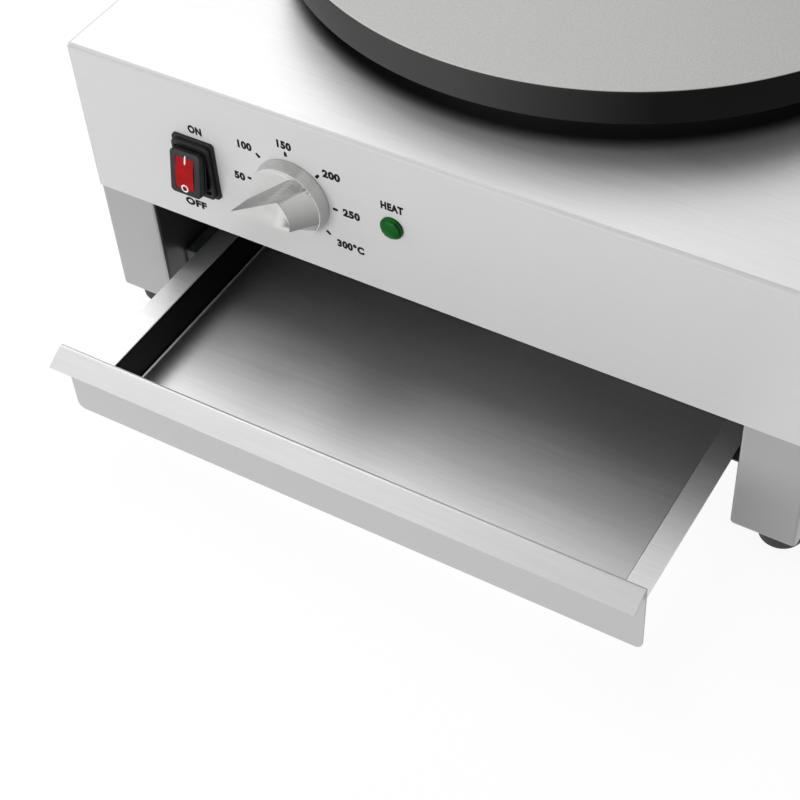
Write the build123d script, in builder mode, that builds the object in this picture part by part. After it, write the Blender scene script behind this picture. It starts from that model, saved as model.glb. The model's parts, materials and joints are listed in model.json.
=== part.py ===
"""Electric crepe maker: folded stainless casing on two plinths, cast-iron plate, utensil drawer.

Millimetres. The origin lies on the counter, under the centre of the cooking plate.
+X is to the right of a person who faces the dial, +Y points away from them, +Z is up.
"""
import os
from math import asin, cos, degrees, hypot, radians, sin

from build123d import *

os.makedirs("parts", exist_ok=True)

# ---------------------------------------------------------------- driving dimensions
# casing and sheet metal
casing_width = 450.0
casing_depth = 475.0
casing_height = 99.0
sheet = 1.2
bend_radius = 2.6
return_flange = 14.0
seam_gap = 0.2
plinth_screw_from_end = 57.5
base_screw_count = 4
vent_slot_length = 46.0
vent_slot_width = 5.0
vent_slot_pitch_x = 70.0
vent_slot_pitch_y = 20.0

# plinths, feet and runners
plinth_width = 38.6
plinth_height = 81.0
plinth_inset = 0.6
plinth_setback = 1.0
foot_height = 15.0
foot_radius = 14.0
foot_taper = 1.0
foot_from_side = 15.0
foot_from_front = 21.0
foot_screw_radius = 3.0
runner_from_front = 20.0
runner_ledge = 16.0
runner_leg = 14.0
guide_from_front = 60.0
guide_ledge = 12.0
rivet_radius = 2.4
rivet_head_radius = 4.0
rivet_head_height = 1.2
rivet_draft = 35.0
rivet_from_end = 20.0
stop_tab_height = 8.0
foot_bore_radius = 7.0
foot_bore_depth = 9.0
foot_edge_round = 1.5
foot_head_radius = 5.5
foot_head_height = 3.5
foot_nut_radius = 5.6
foot_nut_height = 5.0

# cooking plate and what heats it
plate_radius = 200.0
plate_rim_height = 17.0
plate_web = 12.0
plate_skirt = 11.0
plate_lift = 18.5
plate_edge_round = 1.6
boss_radius = 11.0
boss_circle_radius = 115.0
boss_count = 4
rib_width = 6.0
rib_count = 8
skirt_draft = 8.0
rim_chamfer = 1.2
stud_radius = 4.0
spacer_radius = 7.0
element_width = 9.0
element_height = 8.0
outer_element_radius = 150.0
inner_element_radius = 80.0
element_gap_angle = 24.0
terminal_pin_radius = 3.4
terminal_pin_gap = 2.5
terminal_pin_below_pan = 14.0
element_flank_angle = 70.0
clamp_thickness = 3.0
clamp_arm_width = 24.0
clamp_overhang = 13.0
clamp_hub_radius = 38.0
clamp_hub_hole = 22.0
opening_past_element = 15.0
collar_height = 12.0
pan_sheet = 1.0
pan_depth = 33.0
pan_flange = 12.0
pan_wall_gap = 5.0
insulation_thickness = 25.0
reflector_thickness = 0.8
bar_width = 26.0
bar_height = 20.0
bar_sheet = 1.5
nut_height = 6.5
nut_radius = 7.2
stud_past_nut = 3.0

# dial, switch and lamp on the front panel
dial_from_side = 143.3
dial_above_bottom = 46.8
knob_radius = 23.4
knob_draft = 0.9
knob_disc = 8.0
grip_height = 12.0
grip_reach = 30.0
grip_half_width = 9.6
grip_shoulder = 6.4
grip_corner = 7.2
grip_corner_round = 0.5
grip_tail = 10.0
grip_draft = 6.8
grip_foot_shoulder = 9.5
grip_wall_turn = 29.0
grip_tip = 0.5
knob_wall = 3.5
off_angle = 196.0
shaft_radius = 3.0
shaft_flat = 0.7
shaft_hole_gap = 2.0
shaft_tip = 16.0
shaft_round = 5.0
thermostat_size = 34.0
thermostat_depth = 24.0
thermostat_screw_pitch = 28.0
bracket_sheet = 1.5
bracket_height = 20.0
bracket_margin = 7.0
blade_width = 6.3
blade_sheet = 0.8
blade_length = 8.0
switch_from_side = 79.6
switch_above_bottom = 43.6
boot_width = 27.4
boot_length = 38.5
boot_height = 4.6
boot_flange = 1.8
boot_groove = 0.9
boot_groove_inset = 2.2
boot_ring_inset = 1.5
boot_corner = 2.4
frame_width = 20.0
frame_length = 27.0
frame_front = 12.5
frame_back = 5.2
frame_rib = 1.3
frame_groove = 1.2
frame_groove_inset = 1.2
frame_end_gap = 1.5
crown_radius = 80.0
window_corner = 1.0
window_width = 12.3
window_length = 20.0
key_swing = 22.0
pivot_out = 0.2
housing_proud = 2.2
well_depth = 9.0
key_gap = 0.5
key_side_gap = 0.3
key_length = 26.0
key_ledge = 1.3
key_recess = 0.15
key_back = 2.5
trunnion_radius = 1.2
trunnion_reach = 1.5
housing_width = 21.8
housing_length = 30.0
housing_depth = 22.0
lamp_from_side = 206.4
lamp_above_bottom = 49.3
lens_radius = 6.9
lens_height = 3.4
lens_collar = 1.6
lens_taper = 0.8
lens_facets = 12
lamp_body_radius = 5.9
lamp_thread_length = 16.0
lamp_nut_height = 4.0

# drawer
drawer_open = 99.1
drawer_side_gap = 4.5
drawer_plate_height = 52.9
drawer_plate_corner = 4.5
lip_reach = 13.4
lip_drop = 8.0
fold_radius = 0.8
tray_sheet = 1.0
flange_side_gap = 8.9
tray_short_of_casing = 45.0
tray_height = 26.4
tray_bend = 3.0
tray_flange = 13.5
tray_floor_lift = 19.4
drawer_plate_below_tray = 0.6

# rear panel and wiring
louvre_length = 46.0
louvre_height = 7.0
louvre_depth = 4.0
louvre_pitch = 12.0
louvre_rows = 5
louvre_columns = 2
louvre_space = 16.0
inlet_from_side = 75.0
gland_above_bottom = 28.0
gland_bore = 4.5
gland_thread = 8.0
gland_hex = 11.0
gland_flange = 4.0
gland_neck = 8.0
gland_cap_height = 15.0
gland_inside = 9.0
gland_nut_height = 5.0
block_length = 54.0
block_width = 26.0
block_height = 20.0
block_corner = 3.0
block_from_back = 67.5
wire_hole_radius = 3.0
wire_hole_height = 9.0
wire_pitch = 15.0
earth_from_block = 50.0
loom_radius = 3.5
loom_from_side = 60.0
loom_from_front = 90.0
loom_rise_from_front = 55.0
loom_bends = [30.0, 40.0, 40.0, 35.0, 20.0]
capillary_radius = 1.0
capillary_lead = 30.0
capillary_end = 17.0
capillary_bends = [14.0, 20.0, 20.0, 7.0, 7.0]
capillary_hole = (-62.0, -20.0)
bulb_radius = 3.0
bulb_length = 80.0
bulb_y = -40.0
cutout_x = 40.0
cutout_radius = 8.0
cutout_height = 12.0

# fits
face_gap = 0.1
running_gap = 0.05
moving_gap = 0.4
hole_gap = 0.4

# fasteners
screw_radius = 2.0
screw_head_radius = 3.8
screw_head_height = 2.0
screw_reach = 8.0


def grid(pitch_x, pitch_y, columns, rows):
    """Points of a rectangular pattern centred on zero."""
    across = [(column - (columns - 1) / 2) * pitch_x for column in range(columns)]
    along = [(row - (rows - 1) / 2) * pitch_y for row in range(rows)]
    return [(x, y) for x in across for y in along]


# ---------------------------------------------------------------- derived places
front_y = -casing_depth / 2
back_y = casing_depth / 2
casing_bottom = foot_height + plinth_height
deck_top = casing_bottom + casing_height
deck_under = deck_top - sheet
panel_inside = front_y + sheet
shell_back = back_y - sheet - seam_gap
shell_length = shell_back - front_y
shell_middle = (front_y + shell_back) / 2
side_inside = casing_width / 2 - sheet

rim_bottom = deck_top + plate_lift
plate_top = rim_bottom + plate_rim_height
web_under = plate_top - plate_web
element_bottom = web_under - element_height
clamp_bottom = element_bottom - clamp_thickness
pan_flange_top = deck_under
pan_floor_top = pan_flange_top - pan_depth
pan_floor_under = pan_floor_top - pan_sheet
opening_radius = outer_element_radius + opening_past_element
pan_radius = opening_radius - pan_wall_gap
insulation_bottom = pan_floor_top + face_gap
reflector_bottom = insulation_bottom + insulation_thickness + face_gap
bar_y = boss_circle_radius * sin(radians(45))
bar_bottom = pan_floor_under - bar_height
boss_turns = [radians(45 + 360 * boss / boss_count) for boss in range(boss_count)]
boss_places = [(boss_circle_radius * cos(turn), boss_circle_radius * sin(turn)) for turn in boss_turns]

plinth_middle = casing_width / 2 - plinth_inset - plinth_width / 2
plinth_inner_face = plinth_middle - plinth_width / 2
plinth_length = casing_depth - 2 * plinth_setback
foot_x = casing_width / 2 - foot_from_side
foot_y = casing_depth / 2 - foot_from_front
foot_places = grid(2 * foot_x, 2 * foot_y, 2, 2)

dial_x = dial_from_side - casing_width / 2
dial_z = casing_bottom + dial_above_bottom
switch_x = switch_from_side - casing_width / 2
switch_z = casing_bottom + switch_above_bottom
lamp_x = lamp_from_side - casing_width / 2
lamp_z = casing_bottom + lamp_above_bottom
gland_x = casing_width / 2 - inlet_from_side
gland_z = casing_bottom + gland_above_bottom
block_x = gland_x
block_y = back_y - block_from_back

drawer_plate_width = 2 * (plinth_inner_face - drawer_side_gap)
tray_width = 2 * (plinth_inner_face - flange_side_gap - tray_flange)
tray_depth = casing_depth - tray_short_of_casing
drawer_face = front_y - drawer_open
drawer_back_of_plate = drawer_face + sheet
tray_back = drawer_back_of_plate + tray_depth
tray_middle = (drawer_back_of_plate + tray_back) / 2
tray_top = tray_floor_lift + tray_height
tray_under_flange = tray_top - tray_sheet
tray_flange_edge = tray_width / 2 + tray_flange
plate_bottom_edge = tray_floor_lift - drawer_plate_below_tray
plate_top_edge = plate_bottom_edge + drawer_plate_height
runner_top = tray_under_flange - face_gap
guide_under = tray_top + moving_gap
drawer_stop_y = tray_back + drawer_open + moving_gap
rail_face = plinth_inner_face - face_gap
runner_start = front_y + runner_from_front
rail_end = drawer_stop_y + sheet
runner_rivet_z = runner_top - (runner_leg + sheet) / 2
guide_start = front_y + guide_from_front
guide_rivet_z = guide_under + (runner_leg + sheet) / 2


def facing_user(x, y, z):
    """A plane parallel to the front panel, seen from the user's side."""
    return Plane(origin=(x, y, z), x_dir=(1, 0, 0), z_dir=(0, -1, 0))


def facing_back(x, y, z):
    """A plane parallel to the rear panel, seen from behind."""
    return Plane(origin=(x, y, z), x_dir=(-1, 0, 0), z_dir=(0, 1, 0))


def rivet_spots(side, height):
    """Planes on the inner face of a rail's leg, at the rivets that hold it to the plinth."""
    spots = []
    for along in (guide_start + rivet_from_end, 0, drawer_stop_y - rivet_from_end):
        spots.append(Plane(origin=(side * (rail_face - sheet), along, height), z_dir=(-side, 0, 0)))
    return spots


front_panel = facing_user(0, front_y, 0)
rear_face = facing_back(0, back_y, 0)
rear_middle_z = casing_bottom + casing_height / 2
dial_face = facing_user(dial_x, front_y, dial_z)
inside_dial = facing_user(dial_x, panel_inside, dial_z)
switch_face = facing_user(switch_x, front_y, switch_z)
lamp_face = facing_user(lamp_x, front_y, lamp_z)
gland_face = facing_back(gland_x, back_y, gland_z)

base_plate_bottom = casing_bottom + sheet + face_gap
base_plate_top = base_plate_bottom + sheet
plinth_screw_x = casing_width / 2 - (return_flange + sheet) / 2
plinth_screw_pitch = casing_depth / 2 - plinth_screw_from_end
plinth_screw_places = grid(2 * plinth_screw_x, plinth_screw_pitch, 2, 3)
base_screw_pitch = casing_width / (base_screw_count + 1)
base_screw_y = (shell_length - return_flange - sheet) / 2
base_screw_places = [(x, shell_middle + y) for x, y in grid(base_screw_pitch, 2 * base_screw_y, base_screw_count, 2)]
rear_screw_x = (casing_width - return_flange - sheet) / 2
rear_screw_places = grid(rear_screw_x, casing_height - return_flange - sheet, 3, 2)


def terminal_points(ring_radius):
    """The two places, either side of the gap on the right, where an element turns down."""
    half = radians(element_gap_angle * outer_element_radius / ring_radius / 2)
    return [(ring_radius * cos(turn), ring_radius * sin(turn)) for turn in (-half, half)]


terminal_places = terminal_points(outer_element_radius) + terminal_points(inner_element_radius)
pan_hole_radius = terminal_pin_radius + terminal_pin_gap


upwards = (Align.CENTER, Align.CENTER, Align.MIN)
downwards = (Align.CENTER, Align.CENTER, Align.MAX)


def pan_head_screw(places, reach):
    """Pan-head screws whose head rests on the workplane and whose shank runs down into it."""
    with Locations(places):
        Cylinder(screw_head_radius, screw_head_height, align=upwards)
        Cylinder(screw_radius, reach, align=downwards)


# ---------------------------------------------------------------- casing
with BuildPart() as top_casing:
    with BuildSketch(Plane.XY.offset(casing_bottom)):
        with Locations((0, shell_middle)):
            Rectangle(casing_width, shell_length)
    extrude(amount=casing_height)
    fillet(top_casing.edges().filter_by(Axis.Z), bend_radius)
    fillet(top_casing.faces().sort_by(Axis.Z)[-1].edges(), bend_radius)
    offset(amount=-sheet, openings=top_casing.faces().sort_by(Axis.Z)[0])
    # return folded inwards along the lower edge
    with BuildSketch(Plane.XY.offset(casing_bottom)):
        with Locations((0, shell_middle)):
            RectangleRounded(casing_width - sheet, shell_length - sheet, bend_radius - sheet / 2)
            Rectangle(casing_width - 2 * return_flange, shell_length - 2 * return_flange, mode=Mode.SUBTRACT)
    extrude(amount=sheet)
    # service opening at the back, with a frame of flange left round it
    with BuildSketch(rear_face):
        with Locations((0, rear_middle_z)):
            Rectangle(casing_width - 2 * return_flange, casing_height - 2 * return_flange)
    extrude(amount=-return_flange / 2, mode=Mode.SUBTRACT)
    # round deck opening with a drawn-up collar
    with BuildSketch(Plane.XY.offset(deck_top)):
        Circle(opening_radius)
    extrude(amount=-2 * sheet, mode=Mode.SUBTRACT)
    with BuildSketch(Plane.XY.offset(deck_under)):
        Circle(opening_radius + sheet)
        Circle(opening_radius, mode=Mode.SUBTRACT)
    extrude(amount=sheet + collar_height)
    collar_foot = top_casing.edges().filter_by(GeomType.CIRCLE)
    collar_foot = collar_foot.filter_by_position(Axis.Z, deck_top - face_gap / 2, deck_top + face_gap / 2)
    fillet(collar_foot, bend_radius - sheet)
    # cut-outs for the dial shaft, its two screws, the switch and the lamp
    with BuildSketch(front_panel):
        with Locations((dial_x, dial_z)):
            Circle(shaft_radius + shaft_hole_gap)
            with GridLocations(thermostat_screw_pitch, 0, 2, 1):
                Circle(screw_radius + hole_gap)
        with Locations((switch_x, switch_z)):
            Rectangle(housing_width + hole_gap, housing_length + hole_gap)
        with Locations((lamp_x, lamp_z)):
            Circle(lamp_body_radius + hole_gap / 2)
    extrude(amount=-2 * sheet, mode=Mode.SUBTRACT)
    # screw holes in the lower return and in the rear flange
    with BuildSketch(Plane.XY.offset(casing_bottom)):
        with Locations(plinth_screw_places + base_screw_places):
            Circle(screw_radius + face_gap)
    extrude(amount=sheet, mode=Mode.SUBTRACT)
    with BuildSketch(rear_face):
        with Locations((0, rear_middle_z)):
            with Locations(rear_screw_places):
                Circle(screw_radius + face_gap)
    extrude(amount=-return_flange / 2, mode=Mode.SUBTRACT)
top_casing.part.label = "top_casing"
export_step(top_casing.part, "parts/top_casing.step")

with BuildPart() as base_plate:
    base_margin = 2 * (sheet + hole_gap)
    with BuildSketch(Plane.XY.offset(base_plate_bottom)):
        with Locations((0, shell_middle)):
            RectangleRounded(casing_width - base_margin, shell_length - base_margin, bend_radius)
    extrude(amount=sheet)
    # cooling slots, screw holes and clearance round the heads of the plinth screws
    with BuildSketch(Plane.XY.offset(base_plate_bottom)):
        with GridLocations(vent_slot_pitch_x, vent_slot_pitch_y, 3, 7):
            SlotOverall(vent_slot_length, vent_slot_width)
        with Locations(plinth_screw_places):
            Circle(screw_head_radius + 2 * hole_gap)
        with Locations(base_screw_places):
            Circle(screw_radius + face_gap)
    extrude(amount=sheet, mode=Mode.SUBTRACT)
base_plate.part.label = "base_plate"
export_step(base_plate.part, "parts/base_plate.step")

with BuildPart(Plane.XY.offset(casing_bottom) * Rotation(180, 0, 0)) as base_plate_screws:
    pan_head_screw([(x, -y) for x, y in base_screw_places], screw_reach)
base_plate_screws.part.label = "base_plate_screws"
export_step(base_plate_screws.part, "parts/base_plate_screws.step")

with BuildPart() as rear_panel:
    with BuildSketch(rear_face):
        with Locations((0, rear_middle_z)):
            RectangleRounded(casing_width - 2 * seam_gap, casing_height - 2 * seam_gap, bend_radius)
    extrude(amount=-sheet)
    # pressed louvres: a sloping hood with closed cheeks over each slot
    for column in range(louvre_columns):
        middle = (column - (louvre_columns - 1) / 2) * (louvre_length + louvre_space)
        for row in range(louvre_rows):
            foot = rear_middle_z + (row - (louvre_rows - 1) / 2) * louvre_pitch - louvre_height / 2
            with BuildSketch(Plane.YZ.offset(middle - louvre_length / 2)):
                with BuildLine():
                    Polyline(
                        (back_y - sheet / 2, foot),
                        (back_y + louvre_depth, foot),
                        (back_y, foot + louvre_height),
                        (back_y - sheet / 2, foot + louvre_height),
                        close=True,
                    )
                make_face()
            extrude(amount=louvre_length)
            with BuildSketch(Plane.YZ.offset(middle - louvre_length / 2 + sheet)):
                with BuildLine():
                    Polyline(
                        (back_y - 2 * sheet, foot - face_gap),
                        (back_y + louvre_depth - sheet, foot - face_gap),
                        (back_y - sheet, foot + louvre_height - sheet),
                        (back_y - 2 * sheet, foot + louvre_height - sheet),
                        close=True,
                    )
                make_face()
            extrude(amount=louvre_length - 2 * sheet, mode=Mode.SUBTRACT)
    with BuildSketch(rear_face):
        with Locations((-gland_x, gland_z)):
            Circle(gland_thread + face_gap)
        with Locations((0, rear_middle_z)):
            with Locations(rear_screw_places):
                Circle(screw_radius + face_gap)
    extrude(amount=-sheet, mode=Mode.SUBTRACT)
rear_panel.part.label = "rear_panel"
export_step(rear_panel.part, "parts/rear_panel.step")

with BuildPart(facing_back(0, back_y, rear_middle_z)) as rear_panel_screws:
    pan_head_screw(rear_screw_places, screw_reach)
rear_panel_screws.part.label = "rear_panel_screws"
export_step(rear_panel_screws.part, "parts/rear_panel_screws.step")

# ---------------------------------------------------------------- plinths, runners and feet
for plinth_name, side in (("left_plinth", -1), ("right_plinth", 1)):
    with BuildPart() as plinth:
        with BuildSketch(Plane.XY.offset(foot_height)):
            with Locations((side * plinth_middle, 0)):
                Rectangle(plinth_width, plinth_length)
        extrude(amount=plinth_height)
        fillet(plinth.edges().filter_by(Axis.Z), bend_radius)
        fillet(plinth.faces().sort_by(Axis.Z)[0].edges(), bend_radius)
        offset(amount=-sheet, openings=plinth.faces().sort_by(Axis.Z)[-1])
        # flange round the open top, which the casing sits on
        with BuildSketch(Plane.XY.offset(casing_bottom - sheet)):
            with Locations((side * plinth_middle, 0)):
                RectangleRounded(plinth_width - sheet, plinth_length - sheet, bend_radius - sheet / 2)
                Rectangle(plinth_width - 2 * return_flange, plinth_length - 2 * return_flange, mode=Mode.SUBTRACT)
        extrude(amount=sheet)
        with BuildSketch(Plane.XY.offset(casing_bottom)):
            with Locations(plinth_screw_places):
                Circle(screw_radius + face_gap)
        extrude(amount=-sheet, mode=Mode.SUBTRACT)
        with BuildSketch(Plane.XY.offset(foot_height)):
            with Locations(foot_places):
                Circle(foot_screw_radius + face_gap)
        extrude(amount=2 * sheet, mode=Mode.SUBTRACT)
        # rivet holes of the runner and the guide in the inner wall
        for spot in rivet_spots(side, runner_rivet_z) + rivet_spots(side, guide_rivet_z):
            with BuildSketch(spot):
                Circle(rivet_radius + running_gap)
            extrude(amount=-3 * sheet, mode=Mode.SUBTRACT)
    plinth.part.label = plinth_name
    export_step(plinth.part, f"parts/{plinth_name}.step")

with BuildPart(Plane.XY.offset(casing_bottom + sheet)) as plinth_screws:
    pan_head_screw(plinth_screw_places, screw_reach)
plinth_screws.part.label = "plinth_screws"
export_step(plinth_screws.part, "parts/plinth_screws.step")

for runner_name, side in (("left_runner", -1), ("right_runner", 1)):
    with BuildPart() as runner:
        with BuildSketch(Plane.XZ.offset(-runner_start)):
            with BuildLine():
                Polyline(
                    (side * rail_face, runner_top),
                    (side * (rail_face - runner_ledge), runner_top),
                    (side * (rail_face - runner_ledge), runner_top - sheet),
                    (side * (rail_face - sheet), runner_top - sheet),
                    (side * (rail_face - sheet), runner_top - runner_leg),
                    (side * rail_face, runner_top - runner_leg),
                    close=True,
                )
            make_face()
        extrude(amount=-(rail_end - runner_start))
        outer_bend = runner.edges().filter_by(Axis.Y).sort_by_distance((side * rail_face, 0, runner_top))[:1]
        fillet(outer_bend, sheet)
        # stop tab bent up behind the drawer's flange
        with BuildSketch(Plane.XY.offset(runner_top - sheet)):
            with Locations((side * (rail_face - (runner_ledge + sheet) / 2), rail_end - sheet / 2)):
                Rectangle(runner_ledge - sheet, sheet)
        extrude(amount=sheet + stop_tab_height)
        for spot in rivet_spots(side, runner_rivet_z):
            with BuildSketch(spot):
                Circle(rivet_radius + running_gap)
            extrude(amount=-2 * sheet, mode=Mode.SUBTRACT)
    runner.part.label = runner_name
    export_step(runner.part, f"parts/{runner_name}.step")

# guides above the drawer's flanges, which keep it level when it is pulled out
with BuildPart() as drawer_guides:
    for side in (-1, 1):
        with BuildSketch(Plane.XZ.offset(-guide_start)):
            with BuildLine():
                Polyline(
                    (side * rail_face, guide_under),
                    (side * (rail_face - guide_ledge), guide_under),
                    (side * (rail_face - guide_ledge), guide_under + sheet),
                    (side * (rail_face - sheet), guide_under + sheet),
                    (side * (rail_face - sheet), guide_under + runner_leg),
                    (side * rail_face, guide_under + runner_leg),
                    close=True,
                )
            make_face()
        extrude(amount=-(drawer_stop_y - sheet - guide_start))
        for spot in rivet_spots(side, guide_rivet_z):
            with BuildSketch(spot):
                Circle(rivet_radius + running_gap)
            extrude(amount=-2 * sheet, mode=Mode.SUBTRACT)
drawer_guides.part.label = "drawer_guides"
export_step(drawer_guides.part, "parts/drawer_guides.step")

# domed heads on the rails, shanks through the rail and the plinth's wall
with BuildPart() as rail_rivets:
    for side in (-1, 1):
        for spot in rivet_spots(side, runner_rivet_z) + rivet_spots(side, guide_rivet_z):
            with BuildSketch(spot):
                Circle(rivet_head_radius)
            extrude(amount=rivet_head_height, taper=rivet_draft)
            with BuildSketch(spot):
                Circle(rivet_radius)
            extrude(amount=-3 * sheet)
rail_rivets.part.label = "rail_rivets"
export_step(rail_rivets.part, "parts/rail_rivets.step")

with BuildPart() as rubber_feet:
    with Locations(foot_places):
        Cone(foot_radius - foot_taper, foot_radius, foot_height, align=upwards)
    fillet(rubber_feet.faces().filter_by(Plane.XY).group_by(Axis.Z)[0].edges(), foot_edge_round)
    # counterbore for the screw head
    with Locations(foot_places):
        Cylinder(foot_bore_radius, foot_bore_depth, align=upwards, mode=Mode.SUBTRACT)
        Cylinder(foot_screw_radius + face_gap, foot_height, align=upwards, mode=Mode.SUBTRACT)
rubber_feet.part.label = "rubber_feet"
export_step(rubber_feet.part, "parts/rubber_feet.step")

foot_screw_length = foot_height - foot_bore_depth + sheet + foot_nut_height + foot_screw_radius
with BuildPart(Plane.XY.offset(foot_bore_depth)) as foot_screws:
    with Locations(foot_places):
        Cylinder(foot_head_radius, foot_head_height, align=downwards)
        Cylinder(foot_screw_radius, foot_screw_length, align=upwards)
foot_screws.part.label = "foot_screws"
export_step(foot_screws.part, "parts/foot_screws.step")

with BuildPart() as foot_nuts:
    with BuildSketch(Plane.XY.offset(foot_height + sheet)):
        with Locations(foot_places):
            RegularPolygon(foot_nut_radius, 6)
            Circle(foot_screw_radius + running_gap, mode=Mode.SUBTRACT)
    extrude(amount=foot_nut_height)
foot_nuts.part.label = "foot_nuts"
export_step(foot_nuts.part, "parts/foot_nuts.step")

# ---------------------------------------------------------------- cooking plate and heating
with BuildPart() as cooking_plate:
    with BuildSketch(Plane.XY.offset(rim_bottom)):
        Circle(plate_radius)
    extrude(amount=plate_rim_height)
    # hollow underside, which leaves the rim skirt standing
    with BuildSketch(Plane.XY.offset(rim_bottom)):
        Circle(plate_radius - plate_skirt)
    extrude(amount=web_under - rim_bottom, taper=skirt_draft, mode=Mode.SUBTRACT)
    fillet(cooking_plate.faces().sort_by(Axis.Z)[-1].edges(), plate_edge_round)
    rim_foot = cooking_plate.edges().filter_by(GeomType.CIRCLE).group_by(Axis.Z)[0].sort_by(SortBy.RADIUS)[-1:]
    chamfer(rim_foot, rim_chamfer)
    # cast bosses, ribs between them, and tapped holes for the studs
    with BuildSketch(Plane.XY.offset(web_under)):
        with Locations(boss_places):
            Circle(boss_radius)
    extrude(amount=-element_height)
    with BuildSketch(Plane.XY.offset(web_under)):
        with PolarLocations((outer_element_radius + plate_radius - plate_skirt) / 2, rib_count, 180 / rib_count):
            Rectangle(plate_radius - plate_skirt - outer_element_radius - 2 * element_width, rib_width)
    extrude(amount=-(web_under - rim_bottom))
    with BuildSketch(Plane.XY.offset(element_bottom)):
        with Locations(boss_places):
            Circle(stud_radius + running_gap)
    extrude(amount=element_height + plate_web / 2, mode=Mode.SUBTRACT)
cooking_plate.part.label = "cooking_plate"
export_step(cooking_plate.part, "parts/cooking_plate.step")

for element_name, ring_radius in (("outer_element", outer_element_radius), ("inner_element", inner_element_radius)):
    gap = element_gap_angle * outer_element_radius / ring_radius
    with BuildPart() as element:
        # flat-topped sheath section, pressed against the plate
        section = Plane.XZ.rotated((0, 0, gap / 2))
        with BuildSketch(section):
            with Locations((ring_radius, web_under - element_height / 2)):
                Trapezoid(element_width, element_height - 2 * face_gap, element_flank_angle, rotation=180)
        revolve(axis=Axis.Z, revolution_arc=360 - gap)
        with BuildSketch(Plane.XY.offset(web_under - element_height / 2)):
            with Locations(terminal_points(ring_radius)):
                Circle(terminal_pin_radius)
        extrude(amount=-(web_under - element_height / 2 - pan_floor_under + terminal_pin_below_pan))
    element.part.label = element_name
    export_step(element.part, f"parts/{element_name}.step")

with BuildPart() as element_clamp:
    with BuildSketch(Plane.XY.offset(clamp_bottom)):
        with Locations(Rotation(0, 0, 45), Rotation(0, 0, 135)):
            RectangleRounded(2 * (outer_element_radius + clamp_overhang), clamp_arm_width, clamp_arm_width / 4)
        Circle(clamp_hub_radius)
        Circle(clamp_hub_hole, mode=Mode.SUBTRACT)
        with Locations(boss_places):
            Circle(stud_radius + hole_gap, mode=Mode.SUBTRACT)
    extrude(amount=clamp_thickness - face_gap)
element_clamp.part.label = "element_clamp"
export_step(element_clamp.part, "parts/element_clamp.step")

with BuildPart() as plate_spacers:
    with BuildSketch(Plane.XY.offset(pan_floor_under)):
        with Locations(boss_places):
            Circle(spacer_radius)
            Circle(stud_radius + face_gap, mode=Mode.SUBTRACT)
    extrude(amount=clamp_bottom - pan_floor_under)
plate_spacers.part.label = "plate_spacers"
export_step(plate_spacers.part, "parts/plate_spacers.step")

stud_bottom = pan_floor_under - bar_sheet - nut_height - stud_past_nut
stud_top = web_under + plate_web / 2 - hole_gap
with BuildPart() as plate_studs:
    with BuildSketch(Plane.XY.offset(stud_bottom)):
        with Locations(boss_places):
            Circle(stud_radius)
    extrude(amount=stud_top - stud_bottom)
plate_studs.part.label = "plate_studs"
export_step(plate_studs.part, "parts/plate_studs.step")

with BuildPart() as plate_nuts:
    with BuildSketch(Plane.XY.offset(pan_floor_under - bar_sheet - face_gap)):
        with Locations(boss_places):
            RegularPolygon(nut_radius, 6)
            Circle(stud_radius + running_gap, mode=Mode.SUBTRACT)
    extrude(amount=-nut_height)
plate_nuts.part.label = "plate_nuts"
export_step(plate_nuts.part, "parts/plate_nuts.step")


def stack_holes(mode):
    """Holes down through the heat shields for the spacers, element ends and capillary."""
    with Locations(boss_places):
        Circle(spacer_radius + hole_gap, mode=mode)
    with Locations(terminal_places):
        Circle(pan_hole_radius, mode=mode)
    with Locations(capillary_hole):
        Circle(capillary_radius + shaft_hole_gap, mode=mode)


with BuildPart() as heat_pan:
    with BuildSketch(Plane.XZ):
        with BuildLine():
            Polyline(
                (0, pan_floor_under),
                (pan_radius, pan_floor_under),
                (pan_radius, pan_flange_top - pan_sheet),
                (opening_radius + pan_flange, pan_flange_top - pan_sheet),
                (opening_radius + pan_flange, pan_flange_top),
                (pan_radius - pan_sheet, pan_flange_top),
                (pan_radius - pan_sheet, pan_floor_top),
                (0, pan_floor_top),
                close=True,
            )
        make_face()
    revolve(axis=Axis.Z)
    pan_corner = heat_pan.edges().filter_by(GeomType.CIRCLE).group_by(Axis.Z)[0].sort_by(SortBy.RADIUS)[-1:]
    fillet(pan_corner, pan_sheet * 2)
    with BuildSketch(Plane.XY.offset(pan_floor_under)):
        stack_holes(Mode.ADD)
    extrude(amount=pan_sheet, mode=Mode.SUBTRACT)
heat_pan.part.label = "heat_pan"
export_step(heat_pan.part, "parts/heat_pan.step")

with BuildPart() as insulation_disc:
    with BuildSketch(Plane.XY.offset(insulation_bottom)):
        Circle(pan_radius - pan_sheet - hole_gap)
        stack_holes(Mode.SUBTRACT)
    extrude(amount=insulation_thickness)
insulation_disc.part.label = "insulation_disc"
export_step(insulation_disc.part, "parts/insulation_disc.step")

with BuildPart() as reflector_disc:
    with BuildSketch(Plane.XY.offset(reflector_bottom)):
        Circle(pan_radius - pan_sheet - hole_gap)
        stack_holes(Mode.SUBTRACT)
    extrude(amount=reflector_thickness)
reflector_disc.part.label = "reflector_disc"
export_step(reflector_disc.part, "parts/reflector_disc.step")

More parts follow.
